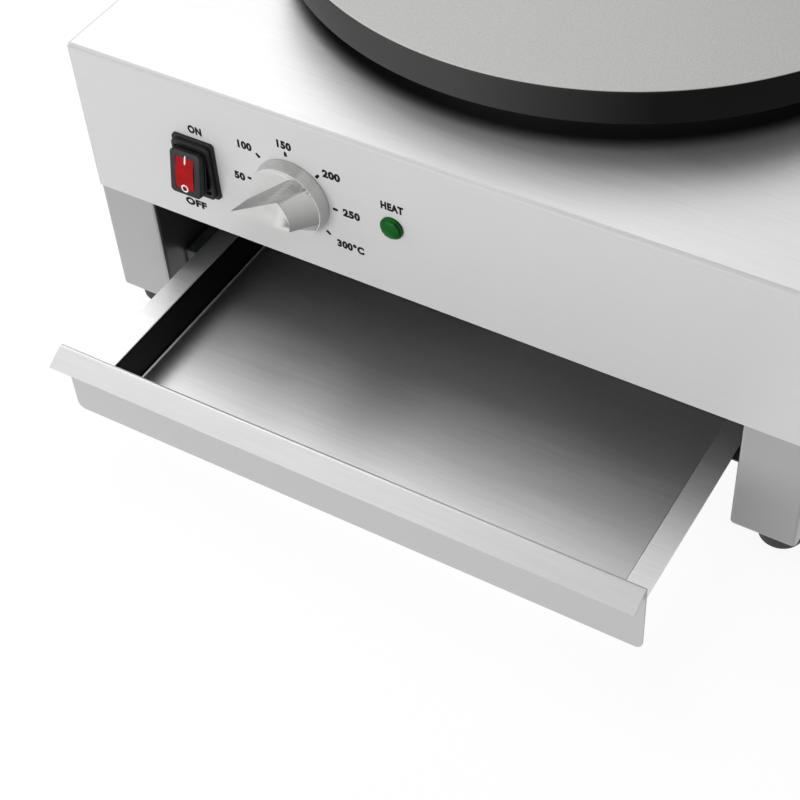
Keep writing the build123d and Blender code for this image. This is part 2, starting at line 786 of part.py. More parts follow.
# two channels across the casing carry the plate on its studs
with BuildPart() as support_bars:
    for side in (-1, 1):
        with BuildSketch(Plane.YZ.offset(-(side_inside - face_gap))):
            with Locations((side * bar_y, pan_floor_under - face_gap / 2 - bar_height / 2)):
                Rectangle(bar_width, bar_height - face_gap)
            with Locations((side * bar_y, pan_floor_under - face_gap / 2 - bar_height / 2 - bar_sheet)):
                Rectangle(bar_width - 2 * bar_sheet, bar_height, mode=Mode.SUBTRACT)
        extrude(amount=2 * (side_inside - face_gap))
    # end tabs, welded to the casing's sides
    with Locations((0, 0, pan_floor_under - bar_height)):
        with GridLocations(2 * (side_inside - face_gap) - bar_sheet, 2 * bar_y, 2, 2):
            Box(bar_sheet, bar_width, bar_height, align=(Align.CENTER, Align.CENTER, Align.MIN))
    with BuildSketch(Plane.XY.offset(pan_floor_under)):
        with Locations(boss_places):
            Circle(stud_radius + face_gap)
    extrude(amount=-2 * bar_sheet, mode=Mode.SUBTRACT)
support_bars.part.label = "support_bars"
export_step(support_bars.part, "parts/support_bars.step")

# ---------------------------------------------------------------- thermostat and dial
corner_radius = 4.0
shaft_root = sheet + thermostat_depth / 2
with BuildPart() as thermostat_body:
    with BuildSketch(inside_dial):
        RectangleRounded(thermostat_screw_pitch + 2 * bracket_margin, bracket_height, corner_radius)
    extrude(amount=-bracket_sheet)
    with BuildSketch(inside_dial.offset(-bracket_sheet)):
        RectangleRounded(thermostat_size, thermostat_size, corner_radius)
    extrude(amount=-thermostat_depth)
    with BuildSketch(inside_dial):
        Circle(shaft_radius + running_gap)
    extrude(amount=-(shaft_root + moving_gap), mode=Mode.SUBTRACT)
    with BuildSketch(inside_dial):
        with GridLocations(thermostat_screw_pitch, 0, 2, 1):
            Circle(screw_radius + running_gap)
    extrude(amount=-screw_reach, mode=Mode.SUBTRACT)
    # blade terminals on the back
    with BuildSketch(inside_dial.offset(-bracket_sheet - thermostat_depth)):
        with GridLocations(thermostat_size / 2, thermostat_size / 2, 2, 2):
            Rectangle(blade_sheet, blade_width)
    extrude(amount=-blade_length)
thermostat_body.part.label = "thermostat_body"
export_step(thermostat_body.part, "parts/thermostat_body.step")

with BuildPart(dial_face) as thermostat_screws:
    pan_head_screw(grid(thermostat_screw_pitch, 0, 2, 1), screw_reach)
thermostat_screws.part.label = "thermostat_screws"
export_step(thermostat_screws.part, "parts/thermostat_screws.step")

with BuildPart() as thermostat_shaft:
    with BuildSketch(dial_face.offset(-shaft_root)):
        Circle(shaft_radius)
    extrude(amount=shaft_root + shaft_tip)
    # flat that keys the knob
    with BuildSketch(dial_face.offset(shaft_round)):
        with Locations((0, shaft_radius)):
            Rectangle(4 * shaft_radius, 2 * shaft_flat)
    extrude(amount=shaft_tip, mode=Mode.SUBTRACT)
thermostat_shaft.part.label = "thermostat_shaft"
export_step(thermostat_shaft.part, "parts/thermostat_shaft.step")

knob_back = dial_face.offset(moving_gap)
grip_base_plane = dial_face.offset(knob_disc - face_gap)
grip_front_plane = dial_face.offset(knob_disc + grip_height)


def grip_point(along, across):
    """A point of the grip's outline, counted from the dial's centre towards the pointer."""
    turn = radians(off_angle)
    return (along * cos(turn) - across * sin(turn), along * sin(turn) + across * cos(turn))


def rim_point(radius, turn):
    """A point on a circle about the grip's axis, counted in degrees from its tail."""
    return (-radius * cos(radians(turn)), radius * sin(radians(turn)))


with BuildPart() as control_knob:
    with BuildSketch(knob_back):
        Circle(knob_radius)
    with BuildSketch(dial_face.offset(knob_disc)):
        Circle(knob_radius - knob_draft)
    loft()
    # arrow grip: blunt tip, straight flanks and a round tail, whose foot spreads out along the disc's rim
    foot_rim = knob_radius - knob_draft - moving_gap
    foot_half_width = grip_half_width + grip_draft
    corner_turn = degrees(asin(foot_half_width / foot_rim))
    grip_foot = (
        grip_base_plane,
        grip_reach - knob_wall,
        (-grip_foot_shoulder, foot_half_width),
        [rim_point(foot_rim, turn) for turn in (corner_turn, (corner_turn + grip_wall_turn) / 2, grip_wall_turn)],
        foot_rim,
    )
    rounding = [rim_point(grip_corner_round, turn) for turn in (90, 45, 0)]
    grip_top = (
        grip_front_plane,
        grip_reach,
        (-grip_shoulder, grip_half_width),
        [(along - grip_corner, across + grip_half_width - grip_corner_round) for along, across in rounding],
        grip_tail,
    )
    for level, reach, shoulder, corner, tail in (grip_foot, grip_top):
        upper = [grip_point(along, across) for along, across in corner]
        lower = [grip_point(along, -across) for along, across in corner]
        with BuildSketch(level):
            with BuildLine():
                Polyline(
                    lower[0],
                    grip_point(shoulder[0], -shoulder[1]),
                    grip_point(reach, -grip_tip),
                    grip_point(reach, grip_tip),
                    grip_point(shoulder[0], shoulder[1]),
                    upper[0],
                )
                ThreePointArc(*upper)
                ThreePointArc(upper[2], grip_point(-tail, 0), lower[2])
                ThreePointArc(*reversed(lower))
            make_face()
    loft()
    # hollow back that clears the screw heads, and the bore for the shaft
    with BuildSketch(knob_back):
        Circle(knob_radius - knob_wall)
        Circle(shaft_radius + knob_wall, mode=Mode.SUBTRACT)
    extrude(amount=knob_disc / 2, mode=Mode.SUBTRACT)
    with BuildSketch(knob_back):
        Circle(shaft_radius + running_gap)
    extrude(amount=shaft_round - moving_gap, mode=Mode.SUBTRACT)
    with BuildSketch(dial_face.offset(shaft_round)):
        Circle(shaft_radius + running_gap)
        with Locations((0, shaft_radius)):
            Rectangle(4 * shaft_radius, 2 * (shaft_flat - running_gap), mode=Mode.SUBTRACT)
    extrude(amount=shaft_tip - shaft_round + running_gap, mode=Mode.SUBTRACT)
control_knob.part.label = "control_knob"
export_step(control_knob.part, "parts/control_knob.step")

# ---------------------------------------------------------------- switch
key_round = key_length / 2
key_width = window_width + 2 * key_ledge
well_width = key_width + 2 * key_side_gap
well_length = key_length + 2 * key_gap
key_tip = radians(key_swing / 2)
key_face = Plane(
    origin=(switch_x, front_y - pivot_out, switch_z), x_dir=(1, 0, 0), z_dir=(0, -cos(key_tip), sin(key_tip))
)
with BuildPart() as switch_housing:
    with BuildSketch(switch_face.offset(housing_proud)):
        Rectangle(housing_width, housing_length)
    extrude(amount=-(housing_proud + housing_depth))
    # well for the rocker, and the bearing holes for its trunnions
    with BuildSketch(switch_face.offset(housing_proud)):
        Rectangle(well_width, well_length)
    extrude(amount=-well_depth, mode=Mode.SUBTRACT)
    bearing_reach = key_width / 2 + trunnion_reach + key_side_gap
    pivot_plane = Plane.YZ.offset(switch_x - bearing_reach)
    with BuildSketch(pivot_plane):
        with Locations((front_y - pivot_out, switch_z)):
            Circle(trunnion_radius + running_gap)
    extrude(amount=2 * bearing_reach, mode=Mode.SUBTRACT)
    with BuildSketch(switch_face.offset(-housing_depth)):
        with GridLocations(0, housing_length / 3, 1, 3):
            Rectangle(blade_width, blade_sheet)
    extrude(amount=-blade_length)
switch_housing.part.label = "switch_housing"
export_step(switch_housing.part, "parts/switch_housing.step")


def key_point(out, up):
    """A point of the key's side outline, tipped about the pivot with its upper end pressed in."""
    tipped_out = out * cos(key_tip) - up * sin(key_tip)
    tipped_up = up * cos(key_tip) + out * sin(key_tip)
    return (front_y - pivot_out - tipped_out, switch_z + tipped_up)


def crown_arc(recess):
    """Upper end, middle and lower end of the crowned front, set back by recess."""
    reach = frame_length / 2 + key_gap
    drop = reach**2 / (2 * crown_radius)
    middle = frame_front - recess
    return key_point(middle - drop, reach), key_point(middle, 0), key_point(middle - drop, -reach)


def key_outline(recess):
    """Corners behind the crowned front, from its lower end round to its upper end."""
    upper, _, lower = crown_arc(recess)
    reach = frame_length / 2 + key_gap
    return lower, key_point(0, -reach), key_point(0, reach), upper


with BuildPart() as rocker_key:
    # front that fills the boot's window
    with BuildSketch(key_face.offset(frame_back - key_recess)):
        RectangleRounded(window_width - 2 * face_gap, window_length - 2 * face_gap, window_corner)
    extrude(amount=frame_front - frame_back)
    with BuildSketch(Plane.YZ.offset(switch_x - key_width / 2)):
        with BuildLine():
            ThreePointArc(*crown_arc(key_recess))
            Polyline(*key_outline(key_recess))
        make_face()
    extrude(amount=key_width, mode=Mode.INTERSECT)
    # body with a ledge under the boot's frame, round ends about the pivot and a flat back
    key_top = frame_back - face_gap
    front_reach = (key_round**2 - key_top**2) ** 0.5
    back_reach = (key_round**2 - key_back**2) ** 0.5
    with BuildSketch(Plane.YZ.offset(switch_x - key_width / 2)):
        with BuildLine():
            Line(key_point(key_top, front_reach), key_point(key_top, -front_reach))
            ThreePointArc(
                key_point(key_top, -front_reach), key_point(0, -key_round), key_point(-key_back, -back_reach)
            )
            Line(key_point(-key_back, -back_reach), key_point(-key_back, back_reach))
            ThreePointArc(
                key_point(-key_back, back_reach), key_point(0, key_round), key_point(key_top, front_reach)
            )
        make_face()
    extrude(amount=key_width)
    with BuildSketch(Plane.YZ.offset(switch_x - key_width / 2 - trunnion_reach)):
        with Locations(key_point(0, 0)):
            Circle(trunnion_radius)
    extrude(amount=key_width + 2 * trunnion_reach)
rocker_key.part.label = "rocker_key"
export_step(rocker_key.part, "parts/rocker_key.step")

# rubber boot's base: a flange on the panel, a groove and a ring that the front frame dips into
boot_levels = (
    (0, boot_flange, 0),
    (boot_flange, boot_flange + boot_groove, boot_groove_inset),
    (boot_flange + boot_groove, boot_height, boot_ring_inset),
)
with BuildPart() as switch_boot:
    for start, end, inset in boot_levels:
        with BuildSketch(switch_face.offset(start)):
            RectangleRounded(boot_width - 2 * inset, boot_length - 2 * inset, boot_corner)
        extrude(amount=end - start)
    with BuildSketch(switch_face):
        Rectangle(housing_width + face_gap, housing_length + face_gap)
    extrude(amount=housing_proud, mode=Mode.SUBTRACT)
    with BuildSketch(switch_face):
        RectangleRounded(frame_width + 2 * key_gap, frame_length + 2 * frame_end_gap, boot_corner)
    extrude(amount=boot_height, mode=Mode.SUBTRACT)
switch_boot.part.label = "switch_boot"
export_step(switch_boot.part, "parts/switch_boot.step")

# the boot's front frame, which sits on the key's ledge and tips with it: a rib, a groove and a crowned face
frame_levels = (
    (frame_back, frame_back + frame_rib, 0),
    (frame_back + frame_rib, frame_back + frame_rib + frame_groove, frame_groove_inset),
    (frame_back + frame_rib + frame_groove, frame_front, 0),
)
with BuildPart() as boot_frame:
    for start, end, inset in frame_levels:
        with BuildSketch(key_face.offset(start)):
            RectangleRounded(frame_width - 2 * inset, frame_length - 2 * inset, boot_corner)
        extrude(amount=end - start)
    with BuildSketch(Plane.YZ.offset(switch_x - frame_width)):
        with BuildLine():
            ThreePointArc(*crown_arc(0))
            Polyline(*key_outline(0))
        make_face()
    extrude(amount=2 * frame_width, mode=Mode.INTERSECT)
    with BuildSketch(key_face):
        RectangleRounded(window_width, window_length, window_corner)
    extrude(amount=frame_front, mode=Mode.SUBTRACT)
boot_frame.part.label = "boot_frame"
export_step(boot_frame.part, "parts/boot_frame.step")

# ---------------------------------------------------------------- lamp
with BuildPart() as indicator_lens:
    # collar on the panel, then a faceted front that narrows a little
    with BuildSketch(lamp_face):
        Circle(lens_radius)
    extrude(amount=lens_collar)
    with BuildSketch(lamp_face.offset(lens_collar)):
        RegularPolygon(lens_radius, lens_facets)
    with BuildSketch(lamp_face.offset(lens_height)):
        RegularPolygon(lens_radius - lens_taper, lens_facets)
    loft()
indicator_lens.part.label = "indicator_lens"
export_step(indicator_lens.part, "parts/indicator_lens.step")

with BuildPart() as indicator_body:
    with BuildSketch(lamp_face):
        Circle(lamp_body_radius)
    extrude(amount=-lamp_thread_length)
    with BuildSketch(lamp_face.offset(-lamp_thread_length)):
        with GridLocations(lamp_body_radius, 0, 2, 1):
            Rectangle(blade_sheet, blade_width)
    extrude(amount=-blade_length)
indicator_body.part.label = "indicator_body"
export_step(indicator_body.part, "parts/indicator_body.step")

with BuildPart() as indicator_nut:
    with BuildSketch(lamp_face.offset(-sheet)):
        RegularPolygon(lamp_body_radius * 1.45, 6)
        Circle(lamp_body_radius + running_gap, mode=Mode.SUBTRACT)
    extrude(amount=-lamp_nut_height)
indicator_nut.part.label = "indicator_nut"
export_step(indicator_nut.part, "parts/indicator_nut.step")

# ---------------------------------------------------------------- cable inlet and wiring
with BuildPart() as cable_gland:
    with BuildSketch(gland_face):
        RegularPolygon(gland_hex, 6, major_radius=False)
    extrude(amount=gland_flange)
    with BuildSketch(gland_face.offset(-gland_inside - sheet)):
        Circle(gland_thread)
    extrude(amount=gland_inside + sheet + gland_flange + gland_neck)
    with BuildSketch(gland_face.offset(-gland_inside - sheet)):
        Circle(gland_bore)
    extrude(amount=gland_inside + sheet + gland_flange + gland_neck, mode=Mode.SUBTRACT)
cable_gland.part.label = "cable_gland"
export_step(cable_gland.part, "parts/cable_gland.step")

with BuildPart() as gland_cap:
    with BuildSketch(gland_face.offset(gland_flange)):
        RegularPolygon(gland_hex, 6, major_radius=False)
    extrude(amount=gland_cap_height * 0.6)
    with BuildSketch(gland_face.offset(gland_flange + gland_cap_height * 0.6)):
        Circle(gland_hex - sheet)
    with BuildSketch(gland_face.offset(gland_flange + gland_cap_height)):
        Circle(gland_bore + 2 * sheet)
    loft()
    with BuildSketch(gland_face.offset(gland_flange)):
        Circle(gland_thread + running_gap)
    extrude(amount=gland_neck, mode=Mode.SUBTRACT)
    with BuildSketch(gland_face.offset(gland_flange)):
        Circle(gland_bore)
    extrude(amount=gland_cap_height, mode=Mode.SUBTRACT)
gland_cap.part.label = "gland_cap"
export_step(gland_cap.part, "parts/gland_cap.step")

with BuildPart() as gland_locknut:
    with BuildSketch(gland_face.offset(-sheet)):
        RegularPolygon(gland_hex + sheet, 6, major_radius=False)
        Circle(gland_thread + running_gap, mode=Mode.SUBTRACT)
    extrude(amount=-gland_nut_height)
gland_locknut.part.label = "gland_locknut"
export_step(gland_locknut.part, "parts/gland_locknut.step")

with BuildPart() as terminal_block:
    with BuildSketch(Plane.XY.offset(base_plate_top)):
        with Locations((block_x, block_y)):
            RectangleRounded(block_width, block_length, block_corner)
    extrude(amount=block_height)
    # wire entries from both sides and the wells of the clamping screws
    with BuildSketch(Plane.YZ.offset(block_x - block_width / 2)):
        with Locations([(block_y + step * wire_pitch, base_plate_top + wire_hole_height) for step in (-1, 0, 1)]):
            Circle(wire_hole_radius)
    extrude(amount=block_width, mode=Mode.SUBTRACT)
    with BuildSketch(Plane.XY.offset(base_plate_top + block_height)):
        with Locations((block_x, block_y)):
            with GridLocations(block_width / 2, wire_pitch, 2, 3):
                Circle(screw_radius)
    extrude(amount=-screw_reach, mode=Mode.SUBTRACT)
terminal_block.part.label = "terminal_block"
export_step(terminal_block.part, "parts/terminal_block.step")

with BuildPart(Plane.XY.offset(base_plate_top)) as earth_stud:
    with Locations((block_x, block_y - earth_from_block)):
        Cylinder(screw_radius, 2 * screw_reach, align=upwards)
    with BuildSketch(Plane.XY.offset(base_plate_top)):
        with Locations((block_x, block_y - earth_from_block)):
            RegularPolygon(screw_head_radius, 6)
    extrude(amount=screw_head_height)
earth_stud.part.label = "earth_stud"
export_step(earth_stud.part, "parts/earth_stud.step")

# thermostat bulb under the plate, its saddle, and the capillary up to it
bulb_z = web_under - bulb_radius - face_gap
with BuildPart() as thermostat_bulb:
    with BuildSketch(Plane.YZ.offset(-bulb_length / 2)):
        with Locations((bulb_y, bulb_z)):
            Circle(bulb_radius)
    extrude(amount=bulb_length)
thermostat_bulb.part.label = "thermostat_bulb"
export_step(thermostat_bulb.part, "parts/thermostat_bulb.step")

# saddle that keeps the bulb up against the plate, resting on two arms of the clamp
with BuildPart() as bulb_saddle:
    with BuildSketch(Plane.XY.offset(element_bottom)):
        with Locations((0, bulb_y)):
            RectangleRounded(bulb_length * 0.75, 3 * bulb_radius, bulb_radius / 2)
    extrude(amount=bulb_z - element_bottom)
    with BuildSketch(Plane.YZ.offset(-bulb_length / 2)):
        with Locations((bulb_y, bulb_z)):
            Circle(bulb_radius + running_gap)
    extrude(amount=bulb_length, mode=Mode.SUBTRACT)
bulb_saddle.part.label = "bulb_saddle"
export_step(bulb_saddle.part, "parts/bulb_saddle.step")

# capillary from the thermostat, under the pan, up through its hole and over to the bulb
thermostat_back = panel_inside + bracket_sheet + thermostat_depth
capillary_low = bar_bottom - capillary_bends[-1]
capillary_start_x = dial_x + thermostat_size / 3
capillary_start_z = dial_z + thermostat_size / 3
capillary_route = [
    (capillary_start_x, thermostat_back, capillary_start_z),
    (capillary_start_x, thermostat_back + capillary_lead, capillary_start_z),
    (capillary_hole[0], -bar_y - bar_width, capillary_low),
    (capillary_hole[0], capillary_hole[1], capillary_low),
    (capillary_hole[0], capillary_hole[1], bulb_z),
    (-bulb_length / 2 - capillary_end, bulb_y, bulb_z),
    (-bulb_length / 2, bulb_y, bulb_z),
]
with BuildPart() as capillary:
    with BuildLine() as capillary_path:
        FilletPolyline(*capillary_route, radius=capillary_bends)
    with BuildSketch(Plane(origin=capillary_route[0], z_dir=(0, 1, 0))):
        Circle(capillary_radius)
    sweep(path=capillary_path.wire())
capillary.part.label = "capillary"
export_step(capillary.part, "parts/capillary.step")

# overheat cut-out, clamped to the underside of the pan
with BuildPart() as overheat_cutout:
    with BuildSketch(Plane.XY.offset(pan_floor_under)):
        with Locations((cutout_x, 0)):
            SlotOverall(4 * cutout_radius, 1.4 * cutout_radius)
    extrude(amount=-pan_sheet)
    with BuildSketch(Plane.XY.offset(pan_floor_under)):
        with Locations((cutout_x, 0)):
            Circle(cutout_radius)
    extrude(amount=-cutout_height)
    # blade terminals either side of the reset pin
    with BuildSketch(Plane.XY.offset(pan_floor_under - cutout_height)):
        with Locations((cutout_x, 0)):
            with GridLocations(cutout_radius, 0, 2, 1):
                Rectangle(blade_sheet, blade_width)
            Circle(screw_radius)
    extrude(amount=-blade_length)
overheat_cutout.part.label = "overheat_cutout"
export_step(overheat_cutout.part, "parts/overheat_cutout.step")

# wiring loom along the base plate, from the terminal block to the switch
loom_height = base_plate_top + 2 * loom_radius
loom_x = loom_from_side - casing_width / 2
loom_route = [
    (block_x - block_width / 2, block_y, base_plate_top + wire_hole_height),
    (block_x - block_width, block_y, base_plate_top + wire_hole_height),
    (loom_x + loom_from_side, block_y, loom_height),
    (loom_x, block_y - loom_from_side, loom_height),
    (loom_x, front_y + loom_from_front, loom_height),
    (switch_x, front_y + loom_rise_from_front, switch_z),
    (switch_x, front_y + housing_depth + blade_length, switch_z),
]
with BuildPart() as wiring_loom:
    with BuildLine() as loom_path:
        FilletPolyline(*loom_route, radius=loom_bends)
    with BuildSketch(Plane(origin=loom_route[0], z_dir=(-1, 0, 0))):
        Circle(loom_radius)
    sweep(path=loom_path.wire())
wiring_loom.part.label = "wiring_loom"
export_step(wiring_loom.part, "parts/wiring_loom.step")

# ---------------------------------------------------------------- drawer
wall_under_flange = tray_height - tray_sheet
with BuildPart() as drawer_tray:
    with BuildSketch(Plane.XY.offset(tray_floor_lift)):
        with Locations((0, tray_middle)):
            Rectangle(tray_width, tray_depth)
    extrude(amount=tray_height)
    fillet(drawer_tray.edges().filter_by(Axis.Z), tray_bend)
    fillet(drawer_tray.faces().sort_by(Axis.Z)[0].edges(), tray_bend)
    offset(amount=-tray_sheet, openings=drawer_tray.faces().sort_by(Axis.Z)[-1])
    # flanges folded outwards along both sides, which slide on the runners
    with BuildSketch(Plane.XY.offset(tray_under_flange)):
        for side in (-1, 1):
            with Locations((side * (tray_width / 2 + (tray_flange - tray_sheet) / 2), tray_middle)):
                Rectangle(tray_flange + tray_sheet, tray_depth - 2 * tray_bend)
    extrude(amount=tray_sheet)
    flange_bend = drawer_tray.edges().filter_by(Axis.Y).group_by(Axis.Z)[-1]
    fillet(flange_bend.sort_by(Axis.X)[1:3], tray_sheet * 0.9)
drawer_tray.part.label = "drawer_tray"
export_step(drawer_tray.part, "parts/drawer_tray.step")

# front plate and its pull lip, folded forwards and down, as one bent profile
lip_run = lip_reach + sheet
lip_length = hypot(lip_run, lip_drop)
lip_end = (drawer_face - lip_reach, plate_top_edge - lip_drop)
inside_fold = plate_top_edge - (lip_drop * sheet + sheet * lip_length) / lip_run
with BuildPart() as drawer_front:
    with BuildSketch(Plane.YZ.offset(-drawer_plate_width / 2)) as front_profile:
        with BuildLine():
            Polyline(
                (drawer_back_of_plate, plate_bottom_edge),
                (drawer_back_of_plate, plate_top_edge),
                lip_end,
                (lip_end[0] + sheet * lip_drop / lip_length, lip_end[1] - sheet * lip_run / lip_length),
                (drawer_face, inside_fold),
                (drawer_face, plate_bottom_edge),
                close=True,
            )
        make_face()
        outside_fold = front_profile.vertices().group_by(Axis.Y)[-1].sort_by(Axis.X)[-1:]
        fillet(outside_fold, fold_radius + sheet)
    extrude(amount=drawer_plate_width)
    inner_fold = drawer_front.edges().filter_by(Axis.X).sort_by_distance((0, drawer_face, inside_fold))[:1]
    fillet(inner_fold, fold_radius)
    lower_corners = drawer_front.edges().filter_by(Axis.Y).group_by(Axis.Z)[0]
    fillet(lower_corners, drawer_plate_corner)
drawer_front.part.label = "drawer_front"
export_step(drawer_front.part, "parts/drawer_front.step")
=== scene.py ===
"""Finish of an electric crepe maker: brushed casing, cast-iron plate, dial, rocker switch and lamp.

The packed parts are loaded as they are and get their materials here. The pieces whose soft edges,
ribs or print the packed solids leave out are made as numpy surfaces in the same frame, in metres:
+X to the right of a person who faces the dial, +Y away from them, +Z up, the counter at zero.
"""
import json
import math

import bmesh
import bpy
import numpy as np
from bpy.props import FloatProperty, FloatVectorProperty, IntProperty, PointerProperty
from mathutils import Matrix, Vector


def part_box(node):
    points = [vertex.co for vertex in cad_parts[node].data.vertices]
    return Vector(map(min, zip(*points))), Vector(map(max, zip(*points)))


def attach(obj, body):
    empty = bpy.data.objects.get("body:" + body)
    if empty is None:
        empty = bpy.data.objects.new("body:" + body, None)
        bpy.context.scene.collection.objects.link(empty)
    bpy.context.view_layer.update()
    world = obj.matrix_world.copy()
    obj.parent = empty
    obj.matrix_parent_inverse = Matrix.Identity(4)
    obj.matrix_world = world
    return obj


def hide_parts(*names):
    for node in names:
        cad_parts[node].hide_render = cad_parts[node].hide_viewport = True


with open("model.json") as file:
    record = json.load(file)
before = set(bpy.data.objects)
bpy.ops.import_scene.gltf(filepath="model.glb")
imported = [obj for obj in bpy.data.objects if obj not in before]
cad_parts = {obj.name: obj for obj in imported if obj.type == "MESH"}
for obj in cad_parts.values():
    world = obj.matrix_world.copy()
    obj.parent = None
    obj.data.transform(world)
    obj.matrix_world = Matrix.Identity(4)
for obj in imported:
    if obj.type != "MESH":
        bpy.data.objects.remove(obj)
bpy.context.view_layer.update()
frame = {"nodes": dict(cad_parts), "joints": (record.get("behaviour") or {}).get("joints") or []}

bl_info = {
    "name": "Crepe Maker Finish",
    "version": (1, 0, 0),
    "blender": (4, 5, 0),
    "location": "3D View > Sidebar > Crepe Maker",
    "description": "Materials, print, knob, switch, lamp and studio for the packed crepe maker",
    "category": "Object",
}

MM = 0.001
JOINTS = {joint["name"]: joint for joint in frame["joints"]}


def middle(node):
    """Centre of a packed part's box."""
    low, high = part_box(node)
    return (low + high) / 2


PANEL_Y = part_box("top_casing")[0].y
DIAL = Vector(JOINTS["dial_turn"]["pos_m"])
KEY_PIVOT = Vector(JOINTS["rocker_tilt"]["pos_m"])
KEY_TIP = math.radians(11.0)  # how far the key and its frame are tipped at rest, upper end in
SWITCH = middle("switch_boot")
LAMP = middle("indicator_lens")

LOOKS_ALONG = 0.7  # part of a face's normal from which it counts as looking along an axis
NOISE_REACH = (0.3, 0.7)  # lowest and highest value that the noise usually takes
SCRATCH_PITCH = 1.1 * MM
SCRATCH_STRETCH = 45.0
CAPITAL_SHARE = 0.7  # height of the font's capitals, as a share of its size
LETTER_SPACING = 1.12


# ---------------------------------------------------------------- colours and nodes
def linear(code):
    """Linear colour of an sRGB hex code: c/12.92 below 0.04045, else ((c + 0.055) / 1.055) ** 2.4."""
    parts = np.array([int(code[i : i + 2], 16) for i in (0, 2, 4)]) / 255
    curved = np.where(parts <= 0.04045, parts / 12.92, ((parts + 0.055) / 1.055) ** 2.4)
    return tuple(float(part) for part in curved)


def toned(colour, share):
    """The colour with each of its parts multiplied by a share."""
    return tuple(part * share for part in colour)


def add(tree, kind, inputs=(), out=0, **settings):
    """Adds one node and gives one of its outputs, or nothing where it has none.

    Settings go on the node. Inputs come in the node's own order or by name or number, and are values or
    the outputs that feed them.
    """
    made = tree.nodes.new("ShaderNode" + kind)
    for name, value in settings.items():
        setattr(made, name, value)
    for key, value in inputs.items() if isinstance(inputs, dict) else enumerate(inputs):
        socket = made.inputs[key]
        if isinstance(value, bpy.types.NodeSocket):
            tree.links.new(value, socket)
        else:
            socket.default_value = (*tuple(value)[:3], 1.0) if socket.type == "RGBA" else value
    return made.outputs[out] if made.outputs else None


def new_material(name):
    """An empty material and its tree of nodes."""
    material = bpy.data.materials.new(name)
    material.use_nodes = True
    material.node_tree.nodes.clear()
    return material, material.node_tree


def shade(material, inputs):
    """Ends a material with its one Principled shader, whose constants stand on its own sockets."""
    shader = add(material.node_tree, "BsdfPrincipled", inputs)
    add(material.node_tree, "OutputMaterial", {"Surface": shader})
    return material


def grain(tree, size, stretch=(1.0, 1.0, 1.0), detail=3.0):
    """Noise whose spots are about size metres across, longer along an axis by its stretch."""
    scale = [1 / (size * longer) for longer in stretch]
    spot = add(tree, "Mapping", {"Vector": add(tree, "TexCoord", out="Object"), "Scale": scale})
    return add(tree, "TexNoise", {"Vector": spot, "Scale": 1.0, "Detail": detail})


def layered(tree, base, *layers):
    """Lays colours over a base one after another, each by its share, and gives the last one's output."""
    for share, colour in layers:
        base = add(tree, "Mix", {0: share, 6: base, 7: colour}, 2, data_type="RGBA")
    return base


def place(tree, axis):
    """Where a point lies along an axis, in metres from the frame's origin."""
    return add(tree, "SeparateXYZ", (add(tree, "TexCoord", out="Object"),), axis)


def from_middle(tree):
    """How far a point is from the upright line through the plate's middle, in metres."""
    spot = add(tree, "TexCoord", out="Object")
    level = add(tree, "VectorMath", (spot, (1.0, 1.0, 0.0)), operation="MULTIPLY")
    return add(tree, "VectorMath", (level,), "Value", operation="LENGTH")


def normal(tree, axis):
    """The part of a face's normal along an axis."""
    return add(tree, "SeparateXYZ", (add(tree, "NewGeometry", out="Normal"),), axis)


def turned_to(tree, axis):
    """How far a face looks along an axis, either way: the size of that part of its normal."""
    return add(tree, "Math", (normal(tree, axis),), operation="ABSOLUTE")


def facing(tree, axis, limit=LOOKS_ALONG):
    """One on faces that look along an axis, either way, and zero elsewhere."""
    return add(tree, "Math", (turned_to(tree, axis), limit), operation="GREATER_THAN")


def facing_in(tree):
    """One on faces that look along X towards the middle of the machine, and zero elsewhere."""
    side = add(tree, "Math", (place(tree, "X"),), operation="SIGN")
    inwards = add(tree, "Math", (normal(tree, "X"), side), operation="MULTIPLY")
    return add(tree, "Math", (inwards, -LOOKS_ALONG), operation="LESS_THAN")


# ---------------------------------------------------------------- materials: metals
def steep_bend(tree):
    """One on the steep side of a bend to the front: 28.5 n^10 (1 - n), n the normal's part along Y."""
    front = turned_to(tree, "Y")
    rest = add(tree, "Math", (1.0, front), operation="SUBTRACT")
    steep = add(tree, "Math", (front, 10.0), operation="POWER")
    bow = add(tree, "Math", (steep, rest), operation="MULTIPLY")
    return add(tree, "Math", (bow, 28.5), operation="MULTIPLY")


def plate_shadow_ring(tree, radius):
    """One on level faces under the plate, where its painted shadow lies, down to zero from 10 mm within its
    edge to 3 mm beyond it.
    """
    reach = (from_middle(tree), radius + 3 * MM, radius - 10 * MM)
    near = add(tree, "MapRange", reach, interpolation_type="SMOOTHSTEP")
    return add(tree, "Math", (near, facing(tree, "Z")), operation="MULTIPLY")


